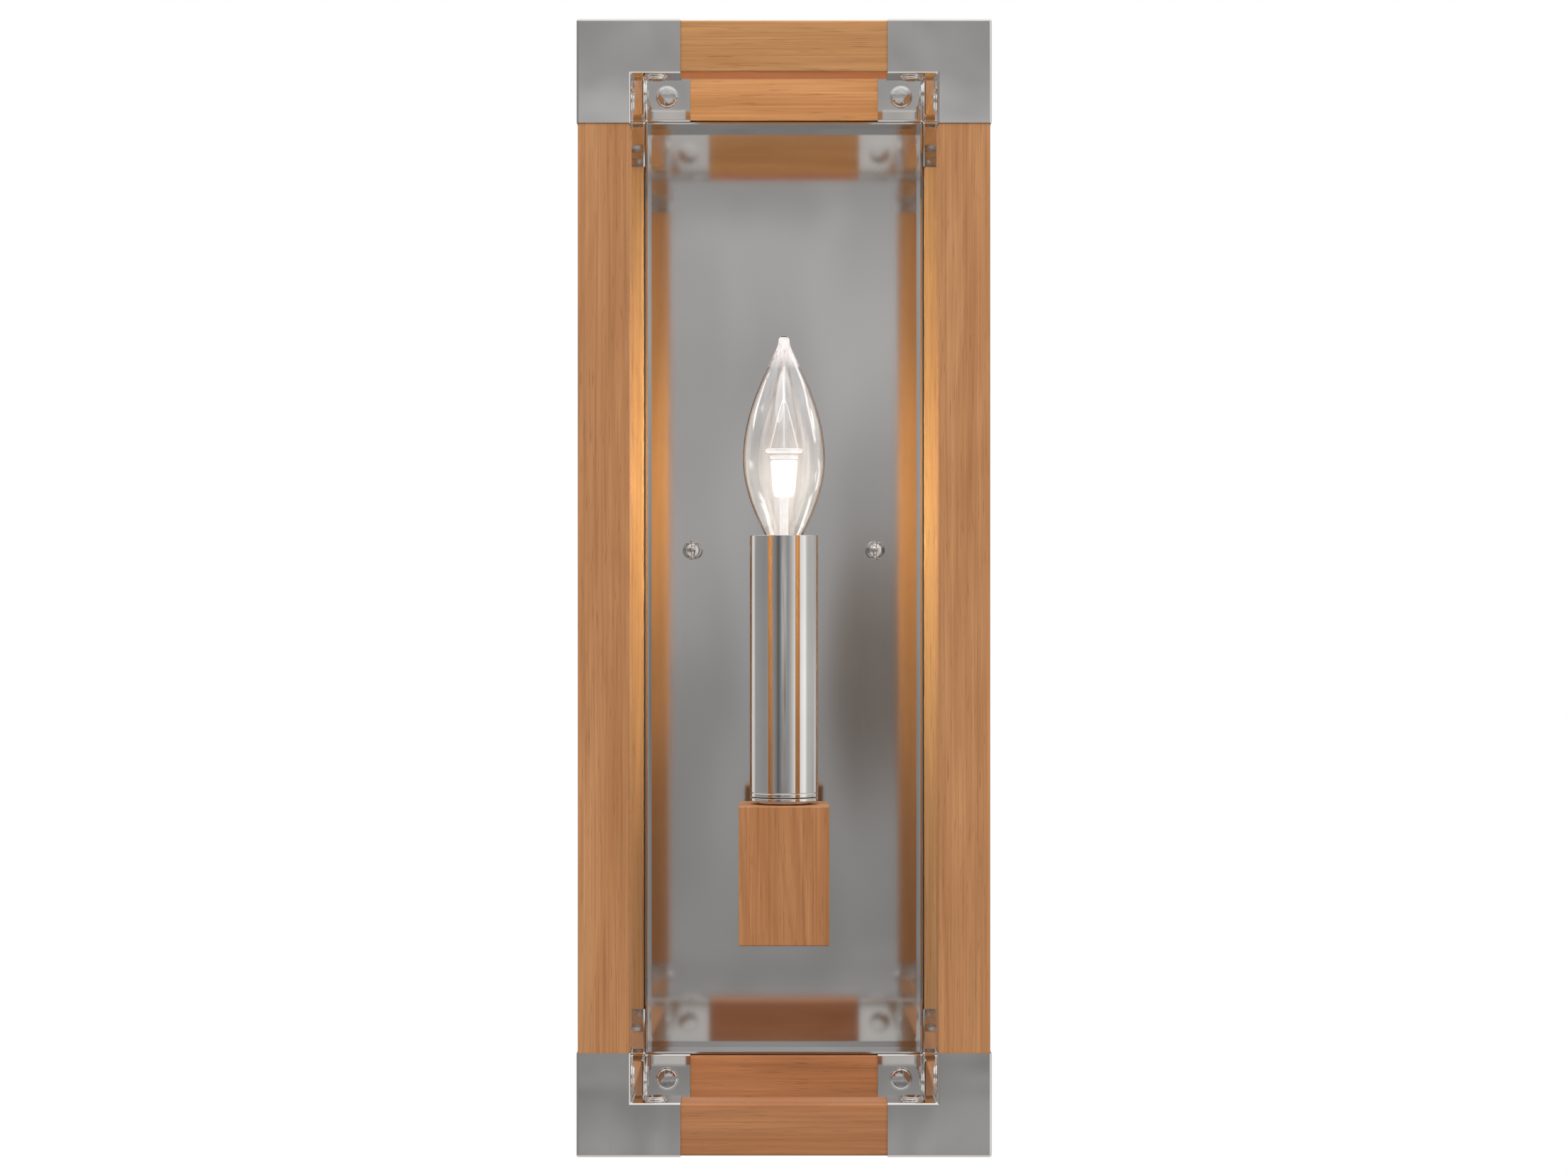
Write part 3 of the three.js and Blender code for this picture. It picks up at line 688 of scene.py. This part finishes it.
def add_candle():
    centre = (CANDLE.x, CANDLE.y, 0)
    low, high = box_of("candle_sleeve")
    radius = (high.x - low.x) / 2
    bore = radius - SLEEVE_WALL
    groove = low.z + 1.6 * MM
    start = (radius - 0.5 * SLEEVE_WALL, low.z)
    outline = filleted([
        start, (radius, low.z), (radius, groove - 0.2 * MM), (radius - 0.2 * MM, groove),
        (radius, groove + 0.2 * MM), (radius, high.z), (bore, high.z), (bore, low.z), start],
        0.25 * MM)
    turned_piece("candle_sleeve_tube", outline[:-1], "candle_sleeve", "candle_sleeve",
                 SLEEVE_NICKEL, centre, closed=True)
    low, high = box_of("sleeve_seat")
    neck = 10 * MM
    rim_bottom = low.z + 1.2 * MM
    rim_top = rim_bottom + 1.3 * MM
    spigot = bore - 0.3 * MM
    hole = NIPPLE_HOLE
    outline = filleted([
        (hole, low.z), (neck, low.z), (neck, rim_bottom), (radius, rim_bottom), (radius, rim_top),
        (spigot, rim_top), (spigot, high.z), (hole, high.z), (hole, low.z)], 0.25 * MM)
    turned_piece("sleeve_seat_turned", outline[:-1], "sleeve_seat", "root",
                 NICKEL, centre, closed=True)


def add_socket():
    centre = (CANDLE.x, CANDLE.y, 0)
    low, high = box_of("lamp_socket")
    radius = (high.x - low.x) / 2
    bore = extent("lamp_base").x / 2
    floor = box_of("lamp_base")[0].z - 0.6 * MM
    hole_top = low.z + 6.8 * MM
    points = [
        (0, hole_top), (NIPPLE_HOLE, hole_top), (NIPPLE_HOLE, low.z), (radius - 1.2 * MM, low.z),
        (radius - 1.2 * MM, low.z + 5 * MM), (radius, low.z + 6.5 * MM)]
    ring = low.z + 12 * MM
    while ring < high.z - 14 * MM:
        points += [(radius, ring), (radius - 0.4 * MM, ring + 0.4 * MM),
                   (radius - 0.4 * MM, ring + 1.2 * MM), (radius, ring + 1.6 * MM)]
        ring += 6 * MM
    points += [(radius, high.z), (bore, high.z), (bore, floor), (0, floor)]
    turned_piece("lamp_socket_moulding", filleted(points, 0.4 * MM), "lamp_socket", "root",
                 PHENOLIC, centre)
    low, high = box_of("socket_nipple")
    radius = (high.x - low.x) / 2
    bore = 3.2 * MM
    outline = [(bore, low.z), (radius - 0.4 * MM, low.z),
               *thread(radius, low.z + 0.3 * MM, high.z - 0.3 * MM, PIPE_PITCH),
               (radius - 0.4 * MM, high.z), (bore, high.z)]
    turned_piece("socket_nipple_threaded", outline, "socket_nipple", "root", STEEL,
                 centre, steps=SMALL_STEPS, closed=True)


def bulb_outline(low, radius, neck, tip, blunt):
    """A cosine on each side of the widest place, the upper one made fuller, and a rounded tip."""
    count = 44
    widest = low + BULB_WIDEST
    turn = math.acos(neck / radius)
    points = []
    for i in range(count + 1):
        t = i / count
        points.append((radius * math.cos(turn * (1 - t)), low + (widest - low) * t))
    for i in range(1, count + 1):
        t = i / count
        reach = math.hypot(radius * abs(math.cos(t * math.pi / 2)) ** BULB_FULLNESS, blunt * t)
        points.append((reach, widest + (tip - blunt / 3 - widest) * t))
    points += [(0.86 * blunt, tip - 0.13 * blunt), (0.5 * blunt, tip - 0.03 * blunt), (0.0, tip)]
    return points


def add_lamp():
    centre = (CANDLE.x, CANDLE.y, 0)

    def part(name, outline, material, node=None, steps=SMALL_STEPS, closed=False):
        return turned_piece(name, outline, node, "lamp", material, centre, "Z", steps,
                            closed)

    low, high = box_of("lamp_glass")
    radius = (high.x - low.x) / 2
    tip = high.z
    outside = bulb_outline(low.z, radius, BULB_NECK, tip, TIP_BLUNT)
    inside = bulb_outline(low.z, radius - GLASS_WALL, BULB_NECK - GLASS_WALL, tip - 1.2 * MM,
                          TIP_BLUNT - GLASS_WALL)
    bulb = part("lamp_glass_bulb", [*reversed(inside), *outside], GLASS,
                "lamp_glass", ROUND_STEPS)
    bulb.visible_shadow = False
    # A skin just inside the glass carries the painted glints, bloom, halo and haze, and a skin over
    # the tip carries more painted bloom.
    haze = bulb_outline(low.z + 0.4 * MM, radius - GLOW_SKIN_INSET, BULB_NECK - GLOW_SKIN_INSET,
                        tip - 1.4 * MM, TIP_BLUNT - GLOW_SKIN_INSET)
    halo_middle = tip - 54 * MM
    painted_glow_material = lamp_painted_glow(tip, halo_middle)
    painted_glow_skin = part("lamp_inner_painted_glow", haze, painted_glow_material, None, ROUND_STEPS)
    painted_glow_skin.visible_shadow = False
    seal = filleted([(0, tip - 1.5 * MM), (2.2 * MM, tip - 1.5 * MM), (2.0 * MM, tip - 0.2 * MM),
                     (1.5 * MM, tip + 0.35 * MM), (0, tip + 0.4 * MM)], 0.5 * MM)
    part("lamp_tip_seal", seal, LIT_GLASS, steps=24)
    skin_gap = 0.03 * MM
    painted_bloom = [(reach + skin_gap, height) for reach, height in outside
             if reach and height > tip - BLOOM_DEPTH]
    part("lamp_tip_bloom", painted_bloom, painted_glow_material).visible_shadow = False
    cap = filleted([(0, tip + 0.3 * MM), (1.3 * MM, tip + 0.25 * MM), (1.2 * MM, tip + 0.65 * MM),
                    (0, tip + 0.9 * MM)], 0.2 * MM)
    part("lamp_tip_cap", cap, DARK_GLASS, steps=24)

    foot = box_of("lamp_stem")[0].z
    spike_top = tip - 11.0 * MM
    cone_top = tip - 25.2 * MM
    disc_top = tip - 42.9 * MM
    disc_bottom = tip - 44.4 * MM
    ring_top = tip - 45.6 * MM
    ring_bottom = tip - 46.8 * MM
    burner_top = tip - 47.4 * MM
    burner_bottom = tip - 61.6 * MM
    stem = filleted([
        (0, foot), (2.6 * MM, foot), (1.7 * MM, foot + 2.5 * MM), (1.7 * MM, burner_bottom + MM),
        (0, burner_bottom + MM)], 0.8 * MM)
    part("lamp_stem_tube", stem, LIT_GLASS)
    sheath = filleted([
        (4.7 * MM, foot), (4.0 * MM, foot + 3 * MM), (3.8 * MM, burner_bottom - 0.4 * MM),
        (3.5 * MM, burner_bottom - 0.4 * MM), (3.6 * MM, foot + 3 * MM), (4.3 * MM, foot),
        (4.7 * MM, foot)], 0.4 * MM)
    part("lamp_stem_sheath", sheath[:-1], SHEATH, closed=True).visible_shadow = False
    burner = filleted([
        (0, burner_bottom), (3.7 * MM, burner_bottom), (4.4 * MM, burner_bottom + 3 * MM),
        (5.3 * MM, burner_top), (0, burner_top)], 1.0 * MM)
    part("lamp_burner", burner, BURNER, "lamp_stem", 64)
    # A skin of painted glow softens the burner's outline.
    mantle = filleted([
        (4.4 * MM, burner_bottom - 0.6 * MM), (5.3 * MM, burner_bottom + 3 * MM),
        (6.0 * MM, burner_top + 0.6 * MM)], 1.0 * MM)
    part("lamp_mantle", mantle, SHEATH).visible_shadow = False
    for name, rim, bottom, top in (("lamp_lower_ring", 5.5 * MM, ring_bottom, ring_top),
                                   ("lamp_disc", 7.15 * MM, disc_bottom, disc_top)):
        ring = filleted([
            (rim - 2.4 * MM, bottom), (rim, bottom), (rim, top), (rim - 2.4 * MM, top),
            (rim - 2.4 * MM, bottom)], 0.45 * MM)
        part(name, ring[:-1], LIT_GLASS, steps=64, closed=True)
    core = filleted([
        (0, burner_top - 0.3 * MM), (4.2 * MM, burner_top - 0.3 * MM), (4.2 * MM, disc_top),
        (0, disc_top)], 0.5 * MM)
    part("lamp_core", core, SHEATH).visible_shadow = False
    cone = [(6.2 * MM, disc_top), (5.1 * MM, disc_top + 4 * MM), (3.4 * MM, disc_top + 10 * MM),
            (1.9 * MM, disc_top + 15 * MM), (1.1 * MM, cone_top), (0.5 * MM, cone_top + 1.2 * MM)]
    skin = filleted(cone, 2.0 * MM)
    part("lamp_cone", skin, SHEATH).visible_shadow = False
    add_wires(skin, centre)
    spike = filleted([
        (0.5 * MM, cone_top), (0.45 * MM, spike_top - 0.4 * MM), (0, spike_top)], 0.1 * MM)
    part("lamp_spike", spike, LIT_GLASS, steps=16)

    low, high = box_of("lamp_base")
    shell = 5.95 * MM
    collar = (high.x - low.x) / 2
    outline = [
        (0, low.z), *filleted([(1.2 * MM, low.z), (2.2 * MM, low.z + 0.5 * MM),
                               (4.2 * MM, low.z + 2.2 * MM), (shell - 0.5 * MM, low.z + 2.4 * MM)],
                              0.4 * MM),
        *thread(shell, low.z + 2.6 * MM, high.z - 3.6 * MM, LAMP_PITCH, 0.7 * MM),
        *filleted([(shell, high.z - 3.5 * MM), (collar, high.z - 3.2 * MM),
                   (collar, high.z - 0.4 * MM), (collar - 0.4 * MM, high.z)], 0.3 * MM),
        (0, high.z)]
    part("lamp_base_cap", outline, CAP, "lamp_base", 64)


def add_wires(outline, centre):
    """Fine wires that climb a turned outline, as one piece."""
    bm = bmesh.new()
    count = 6
    radius = 0.16 * MM
    sides = 8
    turns = [2 * math.pi * k / sides for k in range(sides)]
    for wire in range(count):
        angle = 2 * math.pi * (wire + 0.5) / count
        out = Vector((math.cos(angle), math.sin(angle), 0))
        path = [Vector(centre) + out * reach + Vector((0, 0, height)) for reach, height in outline]
        rings = []
        for i, point in enumerate(path):
            ahead = path[min(i + 1, len(path) - 1)] - path[max(i - 1, 0)]
            side = ahead.normalized().cross(Vector((-out.y, out.x, 0))).normalized()
            across = ahead.normalized().cross(side)
            rings.append([
                bm.verts.new(point + radius * (side * math.cos(turn) + across * math.sin(turn)))
                for turn in turns])
        for first, second in zip(rings, rings[1:]):
            for k in range(sides):
                n = (k + 1) % sides
                bm.faces.new((first[k], first[n], second[n], second[k]))
        bm.faces.new(rings[0])
        bm.faces.new(rings[-1])
    new_object("lamp_wires", mesh_of(bm, "lamp_wires"), "lamp", None, LIT_GLASS)


# ---- Arm, wall strap and their fasteners
def hexagon(across_flats):
    """Radius of a hexagon as a function of the angle."""
    sixth = math.pi / 3

    def radius(angle):
        return across_flats / 2 / math.cos((angle + sixth / 2) % sixth - sixth / 2)

    return radius


def add_arm():
    low, high = box_of("candle_arm")
    radius = (high.x - low.x) / 2
    tail = 5.0 * MM
    bore = 3.4 * MM
    shoulder = high.y - 4.3 * MM
    outline = [
        *filleted([(bore, low.y), (radius, low.y), (radius, shoulder), (tail, shoulder)], 0.4 * MM),
        *thread(tail, shoulder + 0.4 * MM, high.y - 0.2 * MM, PIPE_PITCH),
        (tail - 0.4 * MM, high.y), (bore, high.y)]
    turned_piece("candle_arm_tube", outline, "candle_arm", "root", NICKEL,
                 axis_from_wall("candle_arm"), "Y", closed=True)
    low, high = box_of("arm_nut")
    flats = min(high.x - low.x, high.z - low.z)
    upright = (high.z - low.z) > (high.x - low.x)
    hexagonal = hexagon(flats)
    turn = math.pi / 6 if upright else 0.0
    edge = 0.35 * MM
    hole = 5.3 * MM

    def flank(angle):
        return hexagonal(angle + turn)

    def chamfer(angle):
        return min(flank(angle), flats / 2 * 1.02)

    outline = [(hole, low.y), (chamfer, low.y), (flank, low.y + 1.6 * edge),
               (flank, high.y - 1.6 * edge), (chamfer, high.y), (hole, high.y)]
    nut = turned_piece("arm_nut_hex", outline, "arm_nut", "root", STEEL,
                       axis_from_wall("arm_nut"), "Y", closed=True)
    split_edges(nut, 25)


def split_edges(piece, degrees):
    """Shades edges sharper than an angle as hard edges."""
    limit = math.radians(degrees)
    bm = bmesh.new()
    bm.from_mesh(piece.data)
    for edge in bm.edges:
        if len(edge.link_faces) == 2 and edge.calc_face_angle() > limit:
            edge.smooth = False
    bm.to_mesh(piece.data)
    bm.free()
    flat_faces(piece)


def add_strap():
    low, high = box_of("wall_strap")
    half_length = (high.x - low.x) / 2
    half_width = (high.z - low.z) / 2
    bm = bmesh.new()

    def loop(points):
        verts = [bm.verts.new((x, low.y, z)) for x, z in points]
        return [bm.edges.new((a, b)) for a, b in zip(verts, verts[1:] + verts[:1])]

    def rounded(half_x, half_z, radius, offset=0.0):
        points = []
        for quarter, (a, b) in enumerate(((1, 1), (-1, 1), (-1, -1), (1, -1))):
            for step in range(9):
                angle = math.pi / 2 * (quarter + step / 8)
                points.append((offset + a * (half_x - radius) + radius * math.cos(angle),
                               b * (half_z - radius) + radius * math.sin(angle)))
        return points

    edges = loop(rounded(half_length, half_width, 2.5 * MM))
    for side, sign in SIDES.items():
        stud = middle(f"{side}_stud").x
        edges += loop(rounded(3.5 * MM, 2.2 * MM, 2.19 * MM, stud + sign * 8.2 * MM))
        edges += loop(rounded(2.4 * MM, 2.4 * MM, 2.39 * MM, stud))
    filled = bmesh.ops.triangle_fill(bm, edges=edges, use_beauty=True)
    faces = [f for f in filled["geom"] if isinstance(f, bmesh.types.BMFace)]
    raised = bmesh.ops.extrude_face_region(bm, geom=faces)
    moved = [v for v in raised["geom"] if isinstance(v, bmesh.types.BMVert)]
    bmesh.ops.translate(bm, verts=moved, vec=(0, high.y - low.y, 0))
    strap = new_object("wall_strap_plate", mesh_of(bm, "wall_strap_plate"), "root", "wall_strap",
                       STEEL)
    ease_edges(strap, 0.3 * MM, 2)
    flat_faces(strap)
    for side in SIDES:
        add_stud(side)


def add_stud(side):
    low, high = box_of(f"{side}_stud")
    radius = (high.x - low.x) / 2
    outline = [(0, low.y), (radius - 0.5 * MM, low.y),
               *thread(radius, low.y + 0.3 * MM, high.y - 0.3 * MM, STUD_PITCH),
               (radius - 0.5 * MM, high.y), (0, high.y)]
    turned_piece(f"{side}_stud_threaded", outline, f"{side}_stud", "root", STEEL,
                 axis_from_wall(f"{side}_stud"), "Y", 32)
    low, high = box_of(f"{side}_cap_nut")
    centre = ((low.x + high.x) / 2, high.y, (low.z + high.z) / 2)
    length = high.y - low.y
    ball = (high.x - low.x) / 2
    collar = 3.1 * MM
    bore = 2.4 * MM
    depth = 5.3 * MM
    waist = 1.9 * MM
    start = math.asin(collar / ball)
    middle_height = length - ball
    outline = [
        (0, depth), (bore, depth), (bore, 0), *filleted([
            (bore, 0), (ball - 0.2 * MM, 0), (ball - 0.2 * MM, 0.9 * MM), (collar, 1.2 * MM),
            (collar, waist)], 0.3 * MM)[1:]]
    for i in range(25):
        angle = start + (math.pi - start) * i / 24
        height = middle_height - ball * math.cos(angle)
        if height > waist:
            outline.append((ball * math.sin(angle) if i < 24 else 0.0, height))
    turned_piece(f"{side}_cap_nut_turned", outline, f"{side}_cap_nut", f"{side}_cap_nut",
                 DARK_NICKEL, centre, "-Y", SMALL_STEPS)


# ---- Studio
class WorldNodes(Nodes):
    """The same short calls, for the world's tree."""

    def __init__(self, world):
        world.use_nodes = True
        self.tree = world.node_tree


def add_world():
    """The room that the metal mirrors: darker things straight ahead, bright bands to the sides,
    patches behind and a bright uneven ceiling. Matt surfaces are lit by a plain room instead,
    which is bright above and dark below, and the camera sees plain white."""
    world = bpy.data.worlds.new("studio")
    bpy.context.scene.world = world
    w = WorldNodes(world)
    background = w.tree.nodes["Background"]
    background.inputs["Strength"].default_value = 1.0
    ways = w.add("TexCoord")
    split = w.add("SeparateXYZ")
    w.link(ways.outputs["Generated"], split.inputs[0])
    east, north, up = split.outputs
    front = w.math("MULTIPLY", north, -1.0)
    # Bearing from the front (-Y) towards +X, in turns, shifted so that the front is at 0.5.
    bearing = w.math("ADD", w.math("DIVIDE", w.math("ARCTAN2", east, front), 2 * math.pi), 0.5)
    around = w.ramp(bearing, [(0.5 + degrees / 360, (grey, grey, grey)) for degrees, grey in (
        (-180, 0.95), (-134, 0.85), (-124, 0.92), (-112, 0.40), (-66, 0.34), (-44, 0.40),
        (-28, 0.27), (-19, 0.13), (-11, 0.25), (0, 0.38), (14, 0.36), (22, 0.50), (38, 0.92),
        (60, 0.98), (74, 1.18), (86, 0.62), (110, 0.56), (122, 0.72), (180, 0.95))])
    # Straight ahead the room darkens downwards, with soft smudges of furniture.
    elevation = w.math("DIVIDE", up, w.math("MAXIMUM", front, 0.05))
    across = w.math("DIVIDE", east, w.math("MAXIMUM", front, 0.05))
    ahead = w.ramp(w.spread(elevation, -0.2, 0.2), [(place, (grey, grey, grey)) for place, grey in (
        (0.0, 0.22), (0.10, 0.42), (0.14, 0.37), (0.175, 0.31), (0.21, 0.35), (0.30, 0.37),
        (0.42, 0.38), (0.54, 0.52), (0.68, 0.58), (0.86, 0.46), (0.92, 0.42), (1.0, 0.64))])
    soft = w.gray(w.spread(room_noise(w, ways, 24.0, 1.5), 0.32, 0.62, 0.80, 1.08))
    # One dark, warm blot sits slightly below straight ahead and towards +X.
    blot = w.math("ADD", blot_term(w, across, centre=0.054, size=0.024),
                  blot_term(w, elevation, centre=-0.024, size=0.030))
    shade = w.gray(w.spread(blot, 0.2, 2.0, 0.40, 1.0))
    shaded = w.mix(1.0, w.mix(1.0, ahead, soft, "MULTIPLY"), shade, "MULTIPLY")
    warm = w.mix(w.spread(blot, 0.2, 2.0, 1.0, 0.0), (1.0, 1.0, 1.0), (1.12, 0.94, 0.82))
    shaded = w.mix(1.0, shaded, warm, "MULTIPLY")
    off_ahead = w.math("ABSOLUTE", w.math("SUBTRACT", bearing, 0.5))
    is_ahead = w.spread(off_ahead, 6 / 360, 12 / 360, 1, 0)
    level = w.mix(is_ahead, around, shaded)
    clutter = room_noise(w, ways, 3.5, 2.0)
    patches = w.spread(clutter, 0.36, 0.60, 0.72, 1.12)
    behind = w.gray(w.math("MULTIPLY", patches, w.spread(up, -0.6, 0.1, 0.62, 1.0)))
    level = w.mix(w.spread(up, -0.22, -0.50), level, (0.85, 0.84, 0.82))
    level = w.mix(w.spread(north, 0.15, 0.45), level, w.mix(1.0, level, behind, "MULTIPLY"))
    ceiling = w.gray(w.spread(clutter, 0.36, 0.60, 0.88, 1.25))
    level = w.mix(w.spread(up, 0.22, 0.50), level, ceiling)
    matt = w.ramp(w.spread(up, -1.0, 1.0), [
        (0.0, (0.16, 0.15, 0.14)), (0.5, (0.56, 0.56, 0.56)), (1.0, (2.1, 2.1, 2.1))])
    seen = w.add("LightPath")
    lit = w.mix(seen.outputs["Is Diffuse Ray"], level, matt)
    shown = w.mix(seen.outputs["Is Camera Ray"], lit, (1.0, 1.0, 1.0))
    w.link(shown, background.inputs["Color"])


def room_noise(w, ways, scale, detail):
    node = w.add("TexNoise")
    node.inputs["Scale"].default_value = scale
    node.inputs["Detail"].default_value = detail
    w.link(ways.outputs["Generated"], node.inputs["Vector"])
    return node.outputs["Fac"]


def blot_term(w, value, centre, size):
    """Squared distance from a centre, in sizes."""
    distance = w.math("DIVIDE", w.math("SUBTRACT", value, centre), size)
    return w.math("POWER", w.math("ABSOLUTE", distance), 2.0)


def aim(thing, target):
    thing.rotation_mode = "QUATERNION"
    thing.rotation_quaternion = (Vector(target) - thing.location).to_track_quat("-Z", "Y")


def area_light(name, location, size, energy):
    light = bpy.data.lights.new(name, "AREA")
    light.shape = "DISK"
    light.size = size
    light.energy = energy
    lamp = bpy.data.objects.new(name, light)
    lamp.location = location
    lamp.visible_glossy = False
    bpy.context.scene.collection.objects.link(lamp)
    aim(lamp, CAGE_MIDDLE)


def add_lights():
    area_light("key", (-0.4, -1.3, 1.2), size=0.9, energy=9.0)
    area_light("fill", (1.1, -1.5, 0.2), size=1.2, energy=4.0)
    light = bpy.data.lights.new("lamp_glow", "POINT")
    light.energy = 4.6
    light.color = (1.0, 0.94, 0.60)
    light.shadow_soft_size = 6 * MM
    lamp = bpy.data.objects.new("lamp_glow", light)
    burner = box_of("lamp_stem")[0].z + 23 * MM
    lamp.location = (CANDLE.x, CANDLE.y, burner)
    lamp.visible_glossy = False
    lamp.visible_camera = False
    lamp.visible_transmission = False
    bpy.context.scene.collection.objects.link(lamp)


def add_floor():
    bm = bmesh.new()
    bmesh.ops.create_grid(bm, x_segments=1, y_segments=1, size=2.5)
    floor = bpy.data.objects.new("floor", mesh_of(bm, "floor"))
    floor.location = (0, 0, CAGE_LOW.z - FLOOR_DROP)
    floor.visible_glossy = False
    floor.visible_diffuse = False
    bpy.context.scene.collection.objects.link(floor)
    m = Nodes("floor_paint")
    cloud = m.noise((3, 3, 3), detail=2)
    m.link(m.ramp(cloud, [(0.3, (0.86, 0.86, 0.86)), (0.7, (0.9, 0.9, 0.9))]),
           m.shader.inputs["Base Color"])
    m.set(Roughness=0.9, Emission_Color=(1, 1, 1, 1), Emission_Strength=0.25)
    floor.data.materials.append(m.material)


def add_camera():
    """Square on to the front, level with the middle of the cage."""
    camera = bpy.data.cameras.new("camera")
    camera.sensor_width = SENSOR_WIDTH
    camera.lens = LENS
    holder = bpy.data.objects.new("camera", camera)
    holder.location = (CAGE_MIDDLE.x, CAGE_LOW.y - CAMERA_DISTANCE, CAGE_MIDDLE.z)
    holder.rotation_euler = (math.pi / 2, 0, 0)
    bpy.context.scene.collection.objects.link(holder)
    bpy.context.scene.camera = holder


bpy.context.scene.view_settings.view_transform = "Standard"
add_camera()
add_world()
add_lights()
add_floor()
add_bars()
add_corners()
add_pan()
add_block()
add_candle()
add_socket()
add_lamp()
add_arm()
add_strap()
